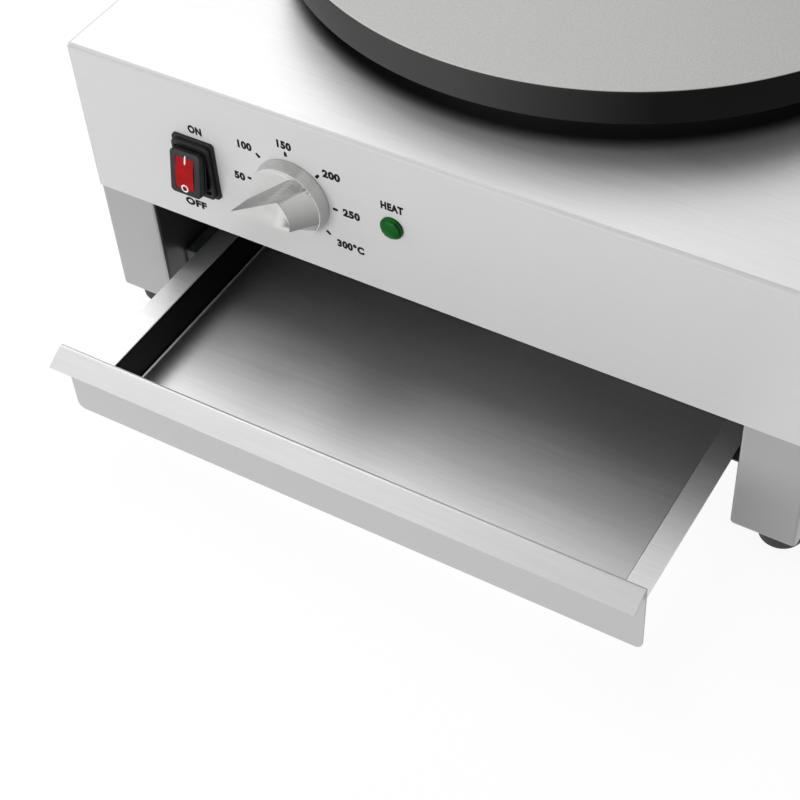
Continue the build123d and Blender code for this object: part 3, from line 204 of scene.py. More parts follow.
def brushed_stainless(
    name, colour, roughness, along, metal, upright_metal=None, inner_shade=None, front_shade=None,
    bend=(0.69, 0.71), bend_shade=None, shadow_radius=None,
):
    """Stainless steel 1.4301, belt-brushed: fine straight scratches that smear reflections across them.

    The scratches of the real grain are about 0.1 mm apart, too fine to show, so they are drawn 1.1 mm apart.
    They run along the given axis, and along Y on faces that look sideways where that axis is X. Upright
    faces may have their own share of metal, which comes in over a bend to the front while the normal's part
    along Y goes through its range. The bend's steep side and the faces that look along Y may be darkened as
    painted shade, and so may those that look inwards, into the shade between the walls. The deck may carry
    a painted shadow of the plate within a radius.
    """
    material, tree = new_material(name)
    stretch = [SCRATCH_STRETCH if axis == along else 1.0 for axis in "XYZ"]
    lines = grain(tree, SCRATCH_PITCH, stretch, 2.0)
    tangent = add(tree, "CombineXYZ", [float(axis != along) for axis in "XYZ"])
    if along == "X":
        sideways = facing(tree, "X")
        lines_along_y = grain(tree, SCRATCH_PITCH, (1.0, SCRATCH_STRETCH, 1.0), 2.0)
        lines = add(tree, "Mix", {0: sideways, 2: lines, 3: lines_along_y})
        across_y = add(tree, "CombineXYZ", (1.0, 0.0, 1.0))
        tangent = add(tree, "Mix", {0: sideways, 4: tangent, 5: across_y}, 1, data_type="VECTOR")
    if upright_metal is not None:
        front = add(tree, "MapRange", (turned_to(tree, "Y"), *bend, 0.0, 1.0))
        upright = add(tree, "Math", (front, facing(tree, "X")), operation="MAXIMUM")
        metal = add(tree, "Mix", {0: upright, 2: metal, 3: upright_metal})
    scratch = layered(tree, toned(colour, 0.94), (facing(tree, "Y"), toned(colour, 0.98)))
    skin = layered(tree, scratch, (add(tree, "MapRange", (lines, *NOISE_REACH, 0.0, 1.0)), colour))
    # painted shade: the steep side of the bend to the front is darkened, damping its highlight
    if bend_shade is not None:
        skin = layered(tree, skin, (steep_bend(tree), toned(colour, bend_shade)))
    # painted shade: faces that look along Y are darkened by this share
    if front_shade is not None:
        skin = layered(tree, skin, (facing(tree, "Y"), toned(colour, front_shade)))
    # painted shade: faces that look inwards are darkened by this share, the shade between the walls
    if inner_shade is not None:
        skin = layered(tree, skin, (facing_in(tree), toned(colour, inner_shade)))
    # painted shadow: the deck is darkened to 0.04 under the plate and just round it
    if shadow_radius is not None:
        skin = layered(tree, skin, (plate_shadow_ring(tree, shadow_radius), toned(colour, 0.04)))
    wipes = grain(tree, 60 * MM, (2.0, 1.0, 1.0), 2.0)
    wiped = add(tree, "MapRange", (wipes, *NOISE_REACH, -0.01, 0.02))
    blur = add(tree, "MapRange", (lines, *NOISE_REACH, roughness - 0.01, roughness + 0.01))
    return shade(material, {
        "Base Color": skin,
        "Metallic": metal,
        "Roughness": add(tree, "Math", (blur, wiped), operation="ADD"),
        "Anisotropic": 0.7,
        "Tangent": tangent,
        "Normal": add(tree, "Bump", {"Height": lines, "Distance": 0.002 * MM, "Strength": 0.3}),
    })


def coated_sheet(name, colour, dark, roughness, spangle, metal=1.0):
    """Galvanised or aluminised sheet: a dull zinc or aluminium skin in crystals a few millimetres across."""
    material, tree = new_material(name)
    spot = add(tree, "TexCoord", out="Object")
    crystals = add(tree, "TexVoronoi", {"Vector": spot, "Scale": 1 / spangle}, "Color")
    tone = add(tree, "SeparateColor", (crystals,))
    return shade(material, {
        "Base Color": layered(tree, dark, (tone, colour)),
        "Metallic": metal,
        "Roughness": add(tree, "MapRange", (tone, 0.0, 1.0, roughness, roughness + 0.15)),
    })


def plated_steel(name, colour, roughness):
    """Zinc- or nickel-plated small parts: bright, slightly streaked from the barrel they are plated in."""
    material, tree = new_material(name)
    scuffs = grain(tree, 1.5 * MM)
    scuffed = add(tree, "MapRange", (scuffs, *NOISE_REACH, 0.0, 1.0))
    return shade(material, {
        "Base Color": layered(tree, toned(colour, 0.82), (scuffed, colour)),
        "Metallic": 1.0,
        "Roughness": add(tree, "MapRange", (scuffs, *NOISE_REACH, roughness, roughness + 0.15)),
        "Normal": add(tree, "Bump", {"Height": scuffs, "Distance": 0.01 * MM, "Strength": 1.0}),
    })


def seasoned_iron(name, colour, dark, edge):
    """Cast iron, turned flat and lightly oiled: matt grey with a fine sandy speckle and faint turning rings.

    The edge and the underside are left black from the foundry. Painted shade darkens the edge where it looks
    left, more where it looks right, and most beneath. The speckle of the real casting is about 0.3 mm, drawn
    at 0.8 mm so that it shows.
    """
    material, tree = new_material(name)
    sand = grain(tree, 0.8 * MM, detail=4.0)
    cloudy = add(tree, "MapRange", (grain(tree, 45 * MM), *NOISE_REACH, 0.0, 0.22))
    ring_pitch = 1.6 * MM
    turns = add(tree, "Math", (from_middle(tree), 2 * math.pi / ring_pitch), operation="MULTIPLY")
    rings = add(tree, "Math", (turns,), operation="SINE")
    spots = layered(tree, dark, (add(tree, "MapRange", (sand, 0.25, 0.75, 0.0, 1.0)), colour))
    worn = layered(tree, spots, (cloudy, toned(colour, 0.8)))
    across, up = normal(tree, "X"), normal(tree, "Z")
    upwards = add(tree, "MapRange", (up, 0.8, 0.96, 0.0, 1.0))
    # painted shade: the edge at half where it looks left, 0.12 where it looks right and 0.1 beneath
    skin = layered(
        tree, edge,
        (add(tree, "MapRange", (across, -0.9, -0.2, 1.0, 0.0)), toned(edge, 0.5)),
        (add(tree, "MapRange", (across, 0.0, 0.5, 0.0, 1.0)), toned(edge, 0.12)),
        (add(tree, "MapRange", (up, -0.5, -0.2, 1.0, 0.0)), toned(edge, 0.1)),
        (upwards, worn),
    )
    relief = add(tree, "Math", (rings, 0.12, sand), operation="MULTIPLY_ADD")
    return shade(material, {
        "Base Color": skin,
        "Metallic": add(tree, "Math", (upwards, 0.75), operation="MULTIPLY"),
        "Roughness": add(tree, "MapRange", (sand, *NOISE_REACH, 0.38, 0.52)),
        "Specular IOR Level": 0.05,
        "Normal": add(tree, "Bump", {"Height": relief, "Distance": 0.03 * MM, "Strength": 1.0}),
    })


def sheathed_heater(name, colour):
    """Nickel-alloy heater sheath, oxidised brown-grey by heat in soft bands."""
    material, tree = new_material(name)
    bands = grain(tree, 12 * MM)
    return shade(material, {
        "Base Color": layered(tree, colour, (bands, linear("3b2f28"))),
        "Metallic": 1.0,
        "Roughness": add(tree, "MapRange", (bands, *NOISE_REACH, 0.45, 0.65)),
    })


# ---------------------------------------------------------------- materials: plastics, rubber and the rest
def moulded(name, colour, roughness, relief=0.02, size=0.6, constants=None):
    """Moulded plastic, rubber or glazed ceramic: one colour, a fine tooled grain, slightly uneven gloss."""
    material, tree = new_material(name)
    skin = grain(tree, size * MM)
    uneven = add(tree, "MapRange", (grain(tree, 9 * MM), *NOISE_REACH, 0.0, 1.0))
    pale = tuple(min(1.0, part * 1.18 + 0.002) for part in colour)
    return shade(material, {
        "Base Color": layered(tree, colour, (uneven, pale)),
        "Roughness": add(tree, "MapRange", (skin, *NOISE_REACH, roughness - 0.05, roughness + 0.08)),
        "Normal": add(tree, "Bump", {"Height": skin, "Distance": relief * MM, "Strength": 1.0}),
        **(constants or {}),
    })


def felted_wool(name, colour):
    """Mineral-wool board: matt fibres in every direction with darker pockets."""
    material, tree = new_material(name)
    fibres = grain(tree, 1.2 * MM, (6.0, 1.0, 1.0), 5.0)
    return shade(material, {
        "Base Color": layered(tree, toned(colour, 0.6), (fibres, colour)),
        "Roughness": 0.95,
        "Normal": add(tree, "Bump", {"Height": fibres, "Distance": 0.4 * MM, "Strength": 1.0}),
    })


def screen_ink(name, colour):
    """Screen-printed enamel ink: an even matt film with slightly thin patches."""
    material, tree = new_material(name)
    faded = tuple(part * 1.1 + 0.004 for part in colour)
    thin = add(tree, "MapRange", (grain(tree, 2.0 * MM), *NOISE_REACH, 0.0, 1.0))
    return shade(material, {
        "Base Color": layered(tree, colour, (thin, faded)),
        "Roughness": 0.7,
        "Specular IOR Level": 0.2,
    })


def satin_chrome(name, colour, roughness, metal, skirt):
    """ABS, satin-chrome plated: a bright metal skin with fine streaks along the grip from the tool.

    Painted shade darkens the streaked flanks that look up or down, and darkens the end that looks along
    +X downwards. Both are less so on the skirt, which reaches that far from the panel.
    """
    material, tree = new_material(name)
    streaks = grain(tree, 0.7 * MM, (22.0, 1.0, 7.0))
    streaked = add(tree, "MapRange", (streaks, *NOISE_REACH, 0.0, 1.0))
    # painted shade: the darker streaked tone for faces that look up
    dull = layered(tree, toned(colour, 0.34), (streaked, toned(colour, 0.46)))
    skirt_y = PANEL_Y - skirt
    grip = add(tree, "MapRange", (place(tree, "Y"), skirt_y - 0.2 * MM, skirt_y, 1.0, 0.45))
    endwards = add(tree, "MapRange", (normal(tree, "X"), 0.35, 0.55, 0.0, 1.0))
    up = normal(tree, "Z")
    upwards = add(tree, "MapRange", (up, 0.25, 0.6, 0.0, 1.0))
    upwards = add(tree, "Math", (upwards, grip), operation="MULTIPLY")
    sloped = add(tree, "Math", (upwards, endwards), operation="SUBTRACT", use_clamp=True)
    lower = add(tree, "MapRange", (place(tree, "Z"), DIAL.z - 8 * MM, DIAL.z + 14 * MM, 1.0, 0.0))
    fall = add(tree, "Math", (lower, endwards), operation="MULTIPLY")
    fall = add(tree, "Math", (fall, grip), operation="MULTIPLY")
    # painted shade: flanks that look up take the darker tone, the +X end darkens downwards, and faces that
    # look down are at 0.8
    skin = layered(
        tree, toned(colour, 0.93),
        (streaked, colour),
        (sloped, dull),
        (fall, toned(colour, 0.38)),
        (add(tree, "MapRange", (up, -0.5, -0.1, 1.0, 0.0)), toned(colour, 0.8)),
    )
    return shade(material, {
        "Base Color": skin,
        "Metallic": metal,
        "Roughness": add(tree, "MapRange", (streaks, *NOISE_REACH, roughness - 0.04, roughness + 0.06)),
        "Normal": add(tree, "Bump", {"Height": streaks, "Distance": 0.01 * MM, "Strength": 1.0}),
    })


def lit_plastic(name, colour, side_shade):
    """Polycarbonate, tinted through: clear gloss over a deep colour, with painted shade on its left and right
    sides.
    """
    material, tree = new_material(name)
    relief = grain(tree, 0.9 * MM)
    cloudy = add(tree, "MapRange", (grain(tree, 5 * MM), *NOISE_REACH, 0.0, 1.0))
    # painted shade: faces that look left or right are darkened by this share
    skin = layered(
        tree, toned(colour, 0.75), (cloudy, colour), (facing(tree, "X", 0.5), toned(colour, side_shade)),
    )
    return shade(material, {
        "Base Color": skin,
        "Roughness": 0.3,
        "IOR": 1.58,
        "Specular IOR Level": 0.08,
        "Normal": add(tree, "Bump", {"Height": relief, "Distance": 0.01 * MM, "Strength": 1.0}),
    })


# ---------------------------------------------------------------- surfaces
def link_piece(name, mesh):
    """A new object in the scene, at the origin, with that mesh."""
    piece = bpy.data.objects.new(name, mesh)
    bpy.context.scene.collection.objects.link(piece)
    return piece


def surface(name, points, closed_along=False, closed_round=True, cap_start=False, cap_end=False, smooth=40.0):
    """Mesh of a grid of points, shape (rows, columns, 3), with quads between neighbours.

    Point (i, j) joins (i + 1, j), (i + 1, j + 1) and (i, j + 1). An end row is closed by one flat face
    where a cap is asked for. Faces are turned outwards, and edges sharper than smooth degrees stay crisp.
    """
    rows, columns = points.shape[:2]
    numbers = np.arange(rows * columns).reshape(rows, columns)
    if closed_along:
        numbers = np.vstack([numbers, numbers[:1]])
    if closed_round:
        numbers = np.hstack([numbers, numbers[:, :1]])
    corners = (numbers[:-1, :-1], numbers[1:, :-1], numbers[1:, 1:], numbers[:-1, 1:])
    faces = np.stack(corners, axis=-1).reshape(-1, 4).tolist()
    if cap_start:
        faces.append(numbers[0, :columns].tolist())
    if cap_end:
        faces.append(numbers[-1, :columns].tolist())
    mesh = bpy.data.meshes.new(name)
    mesh.from_pydata(points.reshape(-1, 3).tolist(), [], faces)
    work = bmesh.new()
    work.from_mesh(mesh)
    bmesh.ops.remove_doubles(work, verts=work.verts, dist=1e-7)
    bmesh.ops.recalc_face_normals(work, faces=work.faces)
    work.to_mesh(mesh)
    work.free()
    mesh.shade_smooth()
    mesh.set_sharp_from_angle(angle=math.radians(smooth))
    return link_piece(name, mesh)


def rounded(corners, radius, steps=5):
    """An open profile with its inner corners rounded.

    Each corner P between neighbours becomes the arc (1 - t)^2 A + 2 t (1 - t) P + t^2 B, where A and B
    lie on the two runs, radius away from P or, on a shorter run, almost halfway along it.
    """
    corners = np.asarray(corners, float)
    before, at, after = corners[:-2], corners[1:-1], corners[2:]
    back, ahead = before - at, after - at
    back_length = np.linalg.norm(back, axis=1, keepdims=True)
    ahead_length = np.linalg.norm(ahead, axis=1, keepdims=True)
    almost_half = 0.49
    start = at + back / back_length * np.minimum(radius, back_length * almost_half)
    end = at + ahead / ahead_length * np.minimum(radius, ahead_length * almost_half)
    share = np.linspace(0, 1, steps)[None, :, None]
    arcs = (1 - share) ** 2 * start[:, None] + 2 * share * (1 - share) * at[:, None] + share**2 * end[:, None]
    return np.vstack([corners[:1], arcs.reshape(-1, corners.shape[1]), corners[-1:]])


def round_box(profile, half_width, half_height, corner, shrink=0.0, count=64):
    """Carries a profile of (inset across, inset up, proud) round an upright rectangle with round corners.

    At turn angle a the outline is (sign(cos a) (w - c) + c cos a, sign(sin a) (h - c) + c sin a), with
    w and h less their insets and c the corner less shrink times the inset across. Rows follow the
    profile, columns the outline. Returns X, proud, Z.
    """
    turn = (np.arange(count) + 0.5) * 2 * math.pi / count
    wide, high, proud = half_width - profile[:, :1], half_height - profile[:, 1:2], profile[:, 2:]
    round_by = corner - shrink * profile[:, :1]
    across = np.sign(np.cos(turn)) * (wide - round_by) + round_by * np.cos(turn)
    up = np.sign(np.sin(turn)) * (high - round_by) + round_by * np.sin(turn)
    return np.stack([across, np.broadcast_to(proud, across.shape), up], axis=-1)


def turned(profile, facets=12, count=96):
    """Turns a profile of (radius, proud, flatness) about the axis that leaves the panel.

    At angle a, with b its distance from the middle of its facet, the radius is
    r ((1 - f) + f cos(pi / facets) / cos b), f the flatness. Rows follow the profile. Returns X, proud, Z.
    """
    turn = np.arange(count) * 2 * math.pi / count
    step = 2 * math.pi / facets
    cut = math.cos(step / 2) / np.cos(np.mod(turn, step) - step / 2)
    reach, flatness = profile[:, :1], profile[:, 2:]
    reach = reach * (1 - flatness + flatness * cut)
    proud = np.broadcast_to(profile[:, 1:2], reach.shape)
    return np.stack([reach * np.cos(turn), proud, reach * np.sin(turn)], axis=-1)


def on_panel(points, centre):
    """Moves points of (X, proud, Z) to the front panel, round a centre: Y is the panel's Y less proud."""
    return points * (1, -1, 1) + (centre.x, PANEL_Y, centre.z)


def soft_copy(name, node, width):
    """A copy of a packed part with its loose triangles merged and its sharp edges rounded by width."""
    sharp = math.radians(35.0)
    mesh = frame["nodes"][node].data.copy()
    mesh.name = name
    mesh.materials.clear()
    work = bmesh.new()
    work.from_mesh(mesh)
    bmesh.ops.remove_doubles(work, verts=work.verts, dist=1e-6)
    bmesh.ops.dissolve_limit(work, angle_limit=math.radians(0.5), verts=work.verts, edges=work.edges)
    work.to_mesh(mesh)
    work.free()
    mesh.shade_smooth()
    mesh.set_sharp_from_angle(angle=sharp)
    piece = link_piece(name, mesh)
    bevel = piece.modifiers.new("Rounded edges", "BEVEL")
    bevel.width, bevel.segments, bevel.limit_method, bevel.angle_limit = width, 2, "ANGLE", sharp
    flat = piece.modifiers.new("Flat faces", "WEIGHTED_NORMAL")
    flat.mode, flat.weight, flat.keep_sharp = "FACE_AREA", 100, True
    return piece


def dress(piece, material, body, slot, *nodes):
    """Gives a new piece its material and body, and lets it stand for packed parts. Its slot is not used."""
    piece.data.materials.clear()
    piece.data.materials.append(material)
    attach(piece, body)
    if nodes:
        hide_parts(*nodes)
    return piece


def coat(material, *nodes):
    """Gives packed parts their material through their slots."""
    for node in nodes:
        data = frame["nodes"][node].data
        if not data.materials:
            data.materials.append(material)
        for index in range(len(data.materials)):
            data.materials[index] = material


# ---------------------------------------------------------------- properties
def tint(name, description, code):
    """A colour that a user may change."""
    return FloatVectorProperty(name=name, description=description, subtype="COLOR", default=linear(code))


def length(name, description, metres, **limits):
    """A length that a user may change."""
    return FloatProperty(name=name, description=description, default=metres, unit="LENGTH", **limits)


def share_of_one(name, description, value, low=0.0, high=1.0):
    """A share that a user may change."""
    return FloatProperty(name=name, description=description, default=value, min=low, max=high)


def power(name, description, watts):
    """A light's power that a user may change."""
    return FloatProperty(name=name, description=description, default=watts, unit="POWER")


# ---------------------------------------------------------------- lettering
def printed(name, text, centre, height, wide, weight, thickness):
    """One printed word as a flat mesh on the front panel, upright.

    Its capitals are height tall and wide times as wide as the font's, and weight thickens its strokes.
    """
    curve = bpy.data.curves.new(name, "FONT")
    curve.body = text
    curve.align_x, curve.align_y = "CENTER", "CENTER"
    curve.size = (height - 2 * weight) / CAPITAL_SHARE
    curve.space_character = LETTER_SPACING
    curve.offset = weight
    curve.extrude = thickness
    holder = link_piece(name, curve)
    bpy.context.view_layer.update()
    mesh = bpy.data.meshes.new_from_object(holder.evaluated_get(bpy.context.evaluated_depsgraph_get()))
    bpy.data.objects.remove(holder)
    corners = np.empty(len(mesh.vertices) * 3, np.float32)
    mesh.vertices.foreach_get("co", corners)
    corners = corners.reshape(-1, 3)
    level = corners[:, :2]
    across, up = ((level - (level.min(0) + level.max(0)) / 2) * (wide, 1.0)).T
    flat = np.stack([across + centre[0], PANEL_Y - corners[:, 2] - thickness, up + centre[1]], axis=-1)
    mesh.vertices.foreach_set("co", flat.astype(np.float32).ravel())
    mesh.update()
    return link_piece(name, mesh)


class CrepePrint(bpy.types.PropertyGroup):
    """Print on the front panel."""

    ink: tint("Ink", "Colour of the print", "030304")
    height: length("Height", "Height of the capitals", 5.4 * MM, min=1 * MM)
    weight: length("Weight", "Extra stroke weight", 0.42 * MM)
    film: length("Film", "Thickness of the ink", 0.02 * MM)
    tick_length: length("Tick length", "Length of a dial mark", 3.6 * MM)
    tick_width: length("Tick width", "Width of a dial mark", 2.2 * MM)


class CREPE_OT_print(bpy.types.Operator):
    """Print the dial numbers, their marks and the words by the switch and the lamp"""

    bl_idname = "crepe.print_panel"
    bl_label = "Print front panel"

    def execute(self, context):
        look = context.scene.crepe_print
        ink = screen_ink("Screen ink, black", tuple(look.ink))
        # word, what it stands by, its centre from there in X and Z in millimetres, and its width
        words = (
            ("50", DIAL, (-34.8, 0.4), 0.98), ("100", DIAL, (-28.3, 23.6), 0.93),
            ("150", DIAL, (-1.7, 33.4), 0.93), ("200", DIAL, (26.9, 23.6), 1.02),
            ("250", DIAL, (37.5, 0.9), 0.98), ("300°C", DIAL, (34.9, -22.9), 0.93),
            ("ON", SWITCH, (2.2, 24.9), 0.84), ("OFF", SWITCH, (-6.2, -29.8), 1.16),
            ("HEAT", LAMP, (0.7, 13.7), 0.79),
        )
        for text, beside, (right, up), wide in words:
            spot = (beside.x + right * MM, beside.z + up * MM)
            name = "print_" + text.removesuffix("°C").lower()
            word = printed(name, text, spot, look.height, wide, look.weight, look.film)
            dress(word, ink, "root", "black_nylon")
        # angle in degrees anticlockwise from the right, and distance from the dial's axis in millimetres
        marks = ((177.7, 28.0), (135.3, 28.3), (93.0, 27.6), (47.9, 26.7), (1.6, 27.4), (-40.5, 27.9))
        # a mark is a wedge with blunt ends: its half width is w (1 - 0.35 t) sqrt(1 - (2t - 1)^8) at share t
        share = np.linspace(0, 1, 9)
        half = look.tick_width / 2 * (1 - 0.35 * share) * np.sqrt(np.clip(1 - (2 * share - 1) ** 8, 0, 1))
        across = half[:, None] * (-1, 1, 1, -1)
        levels = np.broadcast_to(np.array([0, 0, 1, 1]) * look.film * 2, across.shape)
        for count, (turn, reach) in enumerate(marks):
            out = (reach * MM + (share - 0.5) * look.tick_length)[:, None]
            cos, sin = math.cos(math.radians(turn)), math.sin(math.radians(turn))
            points = np.stack([out * cos - across * sin, levels, out * sin + across * cos], axis=-1)
            tick = surface(f"dial_mark_{count}", on_panel(points, DIAL), cap_start=True, cap_end=True)
            dress(tick, ink, "root", "black_nylon")
        return {"FINISHED"}


# ---------------------------------------------------------------- casing and drawer
class CrepeMetal(bpy.types.PropertyGroup):
    """Sheet metal of the casing, the plinths and the drawer."""

    steel: tint("Steel", "Colour of the stainless steel", "d6d6d6")
    tray: tint("Tray", "Colour of the drawer tray", "e8e8e8")
    roughness: share_of_one("Roughness", "Blur of the brushed casing", 0.36, 0.05, 0.9)
    drawer_roughness: share_of_one("Drawer roughness", "Blur of the drawer and the plinths", 0.38, 0.05, 0.9)
    metal: share_of_one("Metal", "Share of the mirror-like reflection", 0.9)
    zinc: tint("Zinc", "Colour of galvanised sheet", "a9adb0")
    spangle: length("Spangle", "Size of the zinc's crystals", 6 * MM, min=1 * MM)


class CREPE_OT_metal(bpy.types.Operator):
    """Give the casing, plinths, drawer, rails and fasteners their metal"""

    bl_idname = "crepe.finish_metal"
    bl_label = "Finish sheet metal"

    def execute(self, context):
        look = context.scene.crepe_metal
        steel, metal, blur = tuple(look.steel), look.metal, look.drawer_roughness
        # the casing's bend to the front carries painted shade, and its deck a painted shadow of the plate
        coat(
            brushed_stainless(
                "Stainless steel, casing", steel, look.roughness, "X", metal, 0.1,
                bend=(0.05, 0.2), bend_shade=0.76, shadow_radius=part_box("cooking_plate")[1].x,
            ), "top_casing", "rear_panel",
        )
        # the drawer front is the casing's steel darkened to 0.76 as painted shade
        coat(
            brushed_stainless("Stainless steel, drawer front", toned(steel, 0.76), blur, "X", metal, 0.4),
            "drawer_front",
        )
        # the tray's inward-looking walls are near black, painted shade
        coat(
            brushed_stainless("Stainless steel, drawer tray", tuple(look.tray), blur, "X", 1.0, None, 0.01),
            "drawer_tray",
        )
        # the plinths' inward faces are near black and their fronts at 0.62, both painted shade
        coat(
            brushed_stainless("Stainless steel, plinths", steel, blur, "Z", metal, 0.1, 0.03, 0.62),
            "left_plinth", "right_plinth",
        )
        # name, colour, colour of the darker crystals, roughness, crystal size, share of metal, parts
        sheets = (
            ("Galvanised steel, spangled", tuple(look.zinc), linear("85898c"), 0.38, look.spangle, 1.0,
             ("support_bars",)),
            # the base plate, guides and runners are dull zinc, darkened as painted shade under the casing
            ("Galvanised steel, dulled and darkened as painted shade", linear("5e6163"), linear("494c4e"), 0.5, look.spangle, 0.6,
             ("base_plate", "drawer_guides", "left_runner", "right_runner")),
            # the heat pan is near black as painted shade under the plate
            ("Galvanised steel, black as painted shade", linear("1d1b1a"), linear("141312"), 0.6, look.spangle,
             1.0, ("heat_pan",)),
            ("Aluminised steel, dull", linear("c4c4c0"), linear("a8a8a4"), 0.42, look.spangle / 2, 1.0,
             ("reflector_disc",)),
        )
        for *finish, nodes in sheets:
            coat(coated_sheet(*finish), *nodes)
        coat(
            plated_steel("Steel, zinc plated", linear("c3c4c2"), 0.28),
            "base_plate_screws", "rear_panel_screws", "plinth_screws", "foot_screws", "foot_nuts",
            "rail_rivets", "thermostat_screws", "plate_nuts", "plate_studs", "plate_spacers", "earth_stud",
            "indicator_nut", "element_clamp", "bulb_saddle", "thermostat_shaft",
        )
        return {"FINISHED"}


# ---------------------------------------------------------------- plate and heating
class CrepePlate(bpy.types.PropertyGroup):
    """Cooking plate."""

    iron: tint("Iron", "Colour of the turned face", "bebebc")
    sand: tint("Speckle", "Colour of the sandy pores", "9c9c9b")
    edge: tint("Edge", "Colour of the black edge", "464647")


class CREPE_OT_plate(bpy.types.Operator):
    """Make the cooking plate, and give it, the heaters and what lies under them their materials"""

    bl_idname = "crepe.finish_plate"
    bl_label = "Finish plate and heating"

    def execute(self, context):
        look = context.scene.crepe_plate
        colours = tuple(look.iron), tuple(look.sand), tuple(look.edge)
        iron = seasoned_iron("Cast iron, turned and oiled", *colours)
        # hollow casting: radius and height from under the middle, round the skirt and up to the top's middle,
        # with a point near the inner and the upper corner that keeps the flat faces there flat
        low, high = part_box("cooking_plate")
        radius = (high.x - low.x) / 2
        lift, skirt, near, rounding = 5.0 * MM, 11.0 * MM, 3.0 * MM, 1.5 * MM
        ceiling = low.z + lift
        steps = np.array([
            (0.0, ceiling), (radius - skirt - near, ceiling), (radius - skirt, ceiling),
            (radius - skirt, low.z), (radius, low.z), (radius, high.z),
            (radius - near, high.z), (0.0, high.z),
        ])
        profile = rounded(np.hstack([steps, np.zeros((len(steps), 1))]), rounding, steps=7)
        upright = [0, 2, 1]  # the turned profile's axis stands up instead of leaving the panel
        casting = surface("cast_plate", turned(profile, count=256)[..., upright], smooth=80.0)
        dress(casting, iron, "root", "cast_iron_plate", "cooking_plate")
        coat(sheathed_heater("Nickel alloy, heat-tinted", linear("6b625b")), "outer_element", "inner_element")
        coat(felted_wool("Mineral wool, pressed board", linear("b9a987")), "insulation_disc")
        coat(plated_steel("Copper, drawn tube", linear("d69a72"), 0.3), "capillary", "thermostat_bulb")
        coat(moulded("Steatite, glazed", linear("e8e4d8"), 0.25), "terminal_block", "overheat_cutout")
        coat(moulded("Phenolic, moulded black", linear("1e1b19"), 0.4), "thermostat_body")
        coat(moulded("Silicone sleeve, white", linear("d9d9d4"), 0.55), "wiring_loom")
        coat(moulded("EPDM rubber, moulded black", linear("1c1c1d"), 0.62, 0.04, 0.8), "rubber_feet")
        coat(
            moulded("Nylon, moulded black", linear("222223"), 0.42),
            "cable_gland", "gland_cap", "gland_locknut", "switch_housing", "indicator_body",
        )
        return {"FINISHED"}


# ---------------------------------------------------------------- dial knob
class CrepeKnob(bpy.types.PropertyGroup):
    """Dial knob."""

    metal: share_of_one("Metal", "Share of the mirror-like reflection", 0.12)
    chrome: tint("Chrome", "Colour of the satin chrome", "dadad9")
    edge: length("Edge", "Radius of its edges", 0.2 * MM)
    skirt: length("Skirt", "How far its round skirt stands out", 7.9 * MM)
    roughness: share_of_one("Roughness", "Blur of the satin chrome", 0.42, 0.02, 0.9)


class CREPE_OT_knob(bpy.types.Operator):
    """Round the knob's edges and plate it"""

    bl_idname = "crepe.make_knob"
    bl_label = "Make knob"

    def execute(self, context):
        look = context.scene.crepe_knob
        chrome = satin_chrome(
            "ABS, satin-chrome plated", tuple(look.chrome), look.roughness, look.metal, look.skirt,
        )
        knob = soft_copy("dial_knob", "control_knob", look.edge)
        dress(knob, chrome, "dial", "satin_chrome_knob", "control_knob")
        return {"FINISHED"}


# ---------------------------------------------------------------- switch
class CrepeSwitch(bpy.types.PropertyGroup):
    """Rocker switch and its boot."""

    boot: tint("Boot", "Colour of the rubber boot", "141516")
    key: tint("Key", "Colour of the rocker", "b4060b")
    soft: length("Softness", "Radius of the boot's lips", 0.5 * MM)


def on_key(across, up, out):
    """Points on the key and its frame in millimetres, tipped about the pivot as the packed parts are."""
    tipped_out = out * math.cos(KEY_TIP) - up * math.sin(KEY_TIP)
    tipped_up = up * math.cos(KEY_TIP) + out * math.sin(KEY_TIP)
    spots = (KEY_PIVOT.x + across * MM, KEY_PIVOT.y - tipped_out * MM, KEY_PIVOT.z + tipped_up * MM)
    return np.stack(spots, axis=-1)


def crown(up):
    """How far the key's crowned front stands out, in millimetres: 12.5 - up^2 / 160."""
    return 12.5 - up**2 / 160


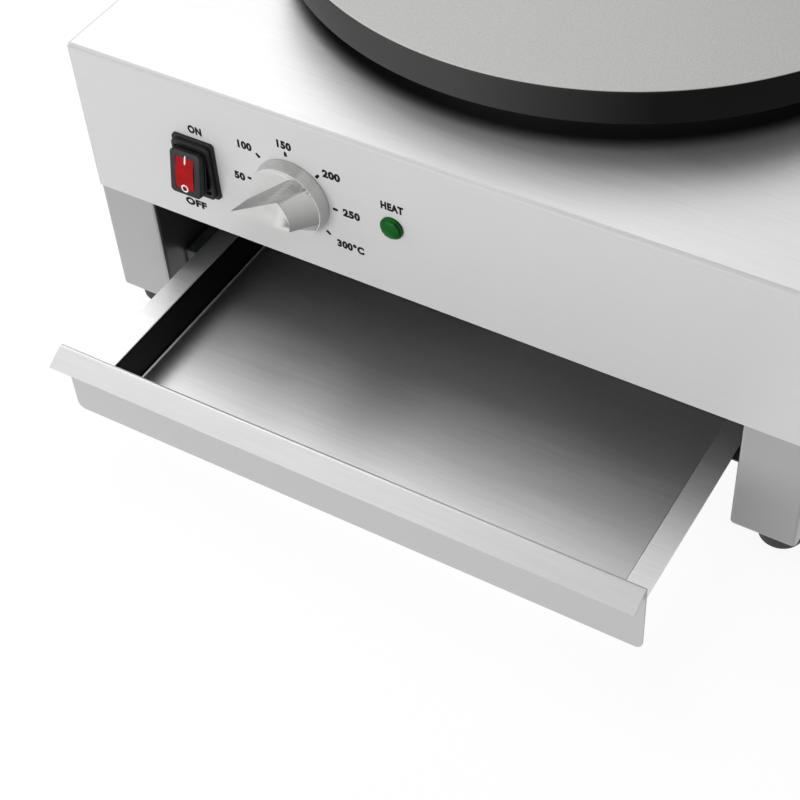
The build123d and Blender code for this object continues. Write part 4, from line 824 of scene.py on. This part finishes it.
class CREPE_OT_switch(bpy.types.Operator):
    """Make the ribbed rubber boot, the red key and its two marks"""

    bl_idname = "crepe.make_switch"
    bl_label = "Make switch"

    def execute(self, context):
        look = context.scene.crepe_switch
        rubber = moulded(
            "EPDM rubber, ribbed boot", tuple(look.boot), 0.5, 0.03, 0.5, {"Specular IOR Level": 0.3},
        )
        corner = 2.4
        # flange, groove, ring and the opening's wall: insets across and up, and height above the panel
        low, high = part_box("switch_boot")
        steps = np.array([
            (0.0, 0.0, 0.0), (0.0, 0.0, 1.8), (2.2, 2.2, 1.8), (2.2, 2.2, 2.7),
            (1.5, 1.5, 2.7), (1.5, 1.5, 4.6), (3.2, 4.25, 4.6), (3.2, 4.25, 0.0),
        ]) * MM
        profile = rounded(steps, look.soft)
        outline = round_box(profile, (high.x - low.x) / 2, (high.z - low.z) / 2, corner * MM)
        boot = surface("switch_boot_skin", on_panel(outline, SWITCH), smooth=60.0)
        dress(boot, rubber, "root", "boot_rubber", "switch_boot")
        # front frame: a rib, a groove and the face round the window, whose height follows the key's crown
        half_width, half_height, groove_top, face = 10.0, 13.5, 7.7, 12.5
        window_shrink = 0.364  # how much less round the window's corners are for each unit of inset
        steps = np.array([
            (3.85, 3.5, 5.2), (0.0, 0.0, 5.2), (0.0, 0.0, 6.5), (1.2, 1.2, 6.5), (1.2, 1.2, groove_top),
            (0.0, 0.0, groove_top), (0.0, 0.0, face), (3.85, 3.5, face), (3.85, 3.5, 8.0),
        ])
        outline = round_box(rounded(steps, look.soft / MM), half_width, half_height, corner, window_shrink)
        across, out, up = np.moveaxis(outline, -1, 0)
        bent = groove_top + (out - groove_top) / (face - groove_top) * (crown(up) - groove_top)
        out = np.where(out > groove_top, bent, out)
        rim = surface("switch_front_frame", on_key(across, up, out), closed_along=True, smooth=60.0)
        dress(rim, rubber, "rocker", "boot_rubber", "boot_frame")
        # the key's sides are near black, painted shade for the gap round it
        red = lit_plastic("Polycarbonate, red", tuple(look.key), 0.03)
        dress(soft_copy("rocker_cap", "rocker_key", 0.3 * MM), red, "rocker", "red_key", "rocker_key")
        white = screen_ink("Pad-print ink, white", linear("f2f2ee"))
        lift = np.array([-0.3, -0.3, 0.06, 0.06])  # from within the key to just above its front
        # upright bar: half width w sqrt(1 - (2t - 1)^6) at share t
        share = np.linspace(0, 1, 13)[:, None]
        wide = 0.5 * np.sqrt(np.clip(1 - (2 * share - 1) ** 6, 0, 1)) * (-1, 1, 1, -1)
        up = 6.0 + 5.6 * share + 0 * wide
        bar = surface("key_mark_on", on_key(wide + 0.4, up, crown(up) + lift), cap_start=True, cap_end=True)
        dress(bar, white, "rocker", "red_key")
        # ring: a flat band carried round a circle
        turn = np.linspace(0, 2 * math.pi, 40, endpoint=False)[:, None]
        reach = np.array([1.55, 2.4, 2.4, 1.55])
        up = reach * np.sin(turn) - 9.2
        band = on_key(reach * np.cos(turn) - 0.3, up, crown(up) + lift)
        dress(surface("key_mark_off", band, closed_along=True), white, "rocker", "red_key")
        return {"FINISHED"}


# ---------------------------------------------------------------- lamp
class CrepeLamp(bpy.types.PropertyGroup):
    """Heat lamp."""

    green: tint("Green", "Colour of the lens", "05641b")
    facets: IntProperty(name="Facets", description="Flat sides round the lens", default=12, min=3)


class CREPE_OT_lamp(bpy.types.Operator):
    """Make the faceted green lens"""

    bl_idname = "crepe.make_lamp"
    bl_label = "Make lamp"

    def execute(self, context):
        look = context.scene.crepe_lamp
        low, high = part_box("indicator_lens")
        radius, proud = (high.x - low.x) / 2, high.y - low.y
        # round collar, ledge, faceted flank and a shallow crown: radius and height in shares, and flatness
        steps = np.array([
            (1.0, 0.0, 0.0), (1.0, 0.38, 0.0), (0.9, 0.42, 0.5),
            (0.84, 0.8, 1.0), (0.64, 0.96, 1.0), (0.0, 1.0, 0.0),
        ])
        rounding = 0.25 * MM
        points = turned(rounded(steps * (radius, proud, 1.0), rounding), look.facets)
        lens = surface("lamp_lens", on_panel(points, LAMP), smooth=20.0)
        # the lens's sides are at 0.3, painted shade
        green = lit_plastic("Polycarbonate, green", tuple(look.green), 0.3)
        dress(lens, green, "root", "green_lens", "indicator_lens")
        return {"FINISHED"}


# ---------------------------------------------------------------- stage
class CrepeStage(bpy.types.PropertyGroup):
    """Floor, lights and camera."""

    floor: tint("Floor", "Colour of the floor", "e6e6e6")
    fill: FloatProperty(name="Fill", description="Brightness of the room", default=0.33, min=0.0)
    top: power("Top light", "Power of the softbox above the back", 4.8)
    over: power("Overhead light", "Power of the softbox above the front", 6.5)
    left: power("Left light", "Power of the softbox on the left", 10.0)
    front: power("Front light", "Power of the softbox in front", 60.0)
    lens: FloatProperty(name="Lens", description="Focal length in millimetres", default=77.58)


def softbox(name, centre, target, width, height, watts):
    """An area light that looks at a point."""
    light = bpy.data.lights.new(name, "AREA")
    light.shape, light.size, light.size_y, light.energy = "RECTANGLE", width, height, watts
    holder = link_piece(name, light)
    holder.location = centre
    holder.rotation_mode = "QUATERNION"
    holder.rotation_quaternion = (Vector(target) - Vector(centre)).to_track_quat("-Z", "Y")
    holder.visible_camera = False


def background_rays(tree):
    """One for the rays that show the background: the camera's, and those that metal or glass turns."""
    rays = add(tree, "LightPath", out="Is Camera Ray").node.outputs
    seen = rays["Is Camera Ray"]
    for kind in ("Is Glossy Ray", "Is Transmission Ray"):
        seen = add(tree, "Math", (seen, rays[kind]), operation="MAXIMUM")
    return seen


def make_floor(colour):
    """A wide disc just under the counter's level: radius 14 s^2 metres at share s, closer rings inside."""
    rings, spokes = 24, 64
    turn = np.arange(spokes) * 2 * math.pi / spokes
    reach = 14.0 * np.linspace(0.02, 1, rings)[:, None] ** 2
    depth = np.full((rings, spokes), -0.2 * MM)
    points = np.stack([reach * np.cos(turn), reach * np.sin(turn), depth], axis=-1)
    floor = surface("studio_floor", points, cap_start=True)
    material, tree = new_material("Painted floor, matt white")
    paint = add(tree, "BsdfPrincipled", {"Base Color": colour, "Roughness": 0.9, "Specular IOR Level": 0.1})
    # the camera, metal and glass see the floor lifted towards white, with the shadow left in it
    seen = add(tree, "Math", (background_rays(tree), 0.8), operation="MULTIPLY")
    white = add(tree, "Emission", {"Color": (1.0, 1.0, 1.0), "Strength": 1.12})
    add(tree, "OutputMaterial", {"Surface": add(tree, "MixShader", (seen, paint, white))})
    floor.data.materials.append(material)


def make_room(scene, fill):
    """A white room, dim as a light and plain white where it is seen."""
    scene.world = bpy.data.worlds.new("Studio room")
    scene.world.use_nodes = True
    tree = scene.world.node_tree
    tree.nodes.clear()
    white = (1.0, 1.0, 1.0)
    dim, plain = (add(tree, "Background", {"Color": white, "Strength": level}) for level in (fill, 1.0))
    add(tree, "OutputWorld", {"Surface": add(tree, "MixShader", (background_rays(tree), dim, plain))})


def make_camera(scene, lens):
    """The studio camera, in front of the right side and above, looking down at the panel's left part."""
    data = bpy.data.cameras.new("Studio camera")
    data.sensor_fit, data.sensor_width, data.lens = "HORIZONTAL", 36.0, lens
    data.shift_x, data.shift_y = -0.073, 0.081
    data.clip_start, data.clip_end = 0.05, 60.0
    right = Vector((0.86925, 0.49337, -0.03141))
    down = Vector((0.35510, -0.66731, -0.65467))
    ahead = Vector((-0.34396, 0.55792, -0.75526))
    axes = Matrix((right, -down, -ahead)).transposed().to_4x4()
    scene.camera = link_piece("Studio camera", data)
    scene.camera.matrix_world = Matrix.Translation((0.3698, -0.8124, 0.7504)) @ axes


class CREPE_OT_stage(bpy.types.Operator):
    """Make the floor, the room, the softboxes and the camera"""

    bl_idname = "crepe.make_stage"
    bl_label = "Make stage"

    def execute(self, context):
        look = context.scene.crepe_stage
        make_floor(tuple(look.floor))
        make_room(context.scene, look.fill)
        softbox("Top softbox", (-1.0, 1.0, 1.65), (0, 0, 0.15), 1.6, 1.8, look.top)
        softbox("Left softbox", (-1.9, -0.5, 0.9), (0, -0.1, 0.12), 1.6, 1.4, look.left)
        softbox("Overhead softbox", (-1.0, -0.1, 1.8), (0, -0.2, 0.1), 1.2, 0.9, look.over)
        softbox("Front softbox", (-0.9, -3.6, 0.45), (0, -0.2, 0.12), 3.0, 0.9, look.front)
        make_camera(context.scene, look.lens)
        context.scene.view_settings.view_transform = "Standard"
        return {"FINISHED"}


# ---------------------------------------------------------------- panel and registration
STEPS = (
    ("finish_metal", CREPE_OT_metal), ("finish_plate", CREPE_OT_plate), ("make_knob", CREPE_OT_knob),
    ("make_switch", CREPE_OT_switch), ("make_lamp", CREPE_OT_lamp), ("print_panel", CREPE_OT_print),
    ("make_stage", CREPE_OT_stage),
)
GROUPS = {
    "crepe_metal": CrepeMetal, "crepe_plate": CrepePlate, "crepe_knob": CrepeKnob,
    "crepe_switch": CrepeSwitch, "crepe_lamp": CrepeLamp, "crepe_print": CrepePrint,
    "crepe_stage": CrepeStage,
}


class CREPE_PT_finish(bpy.types.Panel):
    """The crepe maker's finish"""

    bl_label = "Crepe Maker"
    bl_idname = "CREPE_PT_finish"
    bl_space_type = "VIEW_3D"
    bl_region_type = "UI"
    bl_category = "Crepe Maker"

    def draw(self, context):
        for name, group in GROUPS.items():
            box = self.layout.box()
            box.label(text=group.__doc__)
            for field in group.__annotations__:
                box.prop(getattr(context.scene, name), field)
        for _, step in STEPS:
            self.layout.operator(step.bl_idname)


def register():
    """Registers the property groups, operators and panel."""
    for name, group in GROUPS.items():
        bpy.utils.register_class(group)
        setattr(bpy.types.Scene, name, PointerProperty(type=group))
    for _, step in STEPS:
        bpy.utils.register_class(step)
    bpy.utils.register_class(CREPE_PT_finish)


def unregister():
    """Takes them out again, in reverse."""
    bpy.utils.unregister_class(CREPE_PT_finish)
    for _, step in reversed(STEPS):
        bpy.utils.unregister_class(step)
    for name, group in reversed(list(GROUPS.items())):
        delattr(bpy.types.Scene, name)
        bpy.utils.unregister_class(group)


def main():
    """Runs every step in order."""
    register()
    for name, _ in STEPS:
        getattr(bpy.ops.crepe, name)()


if __name__ == "__main__":
    main()
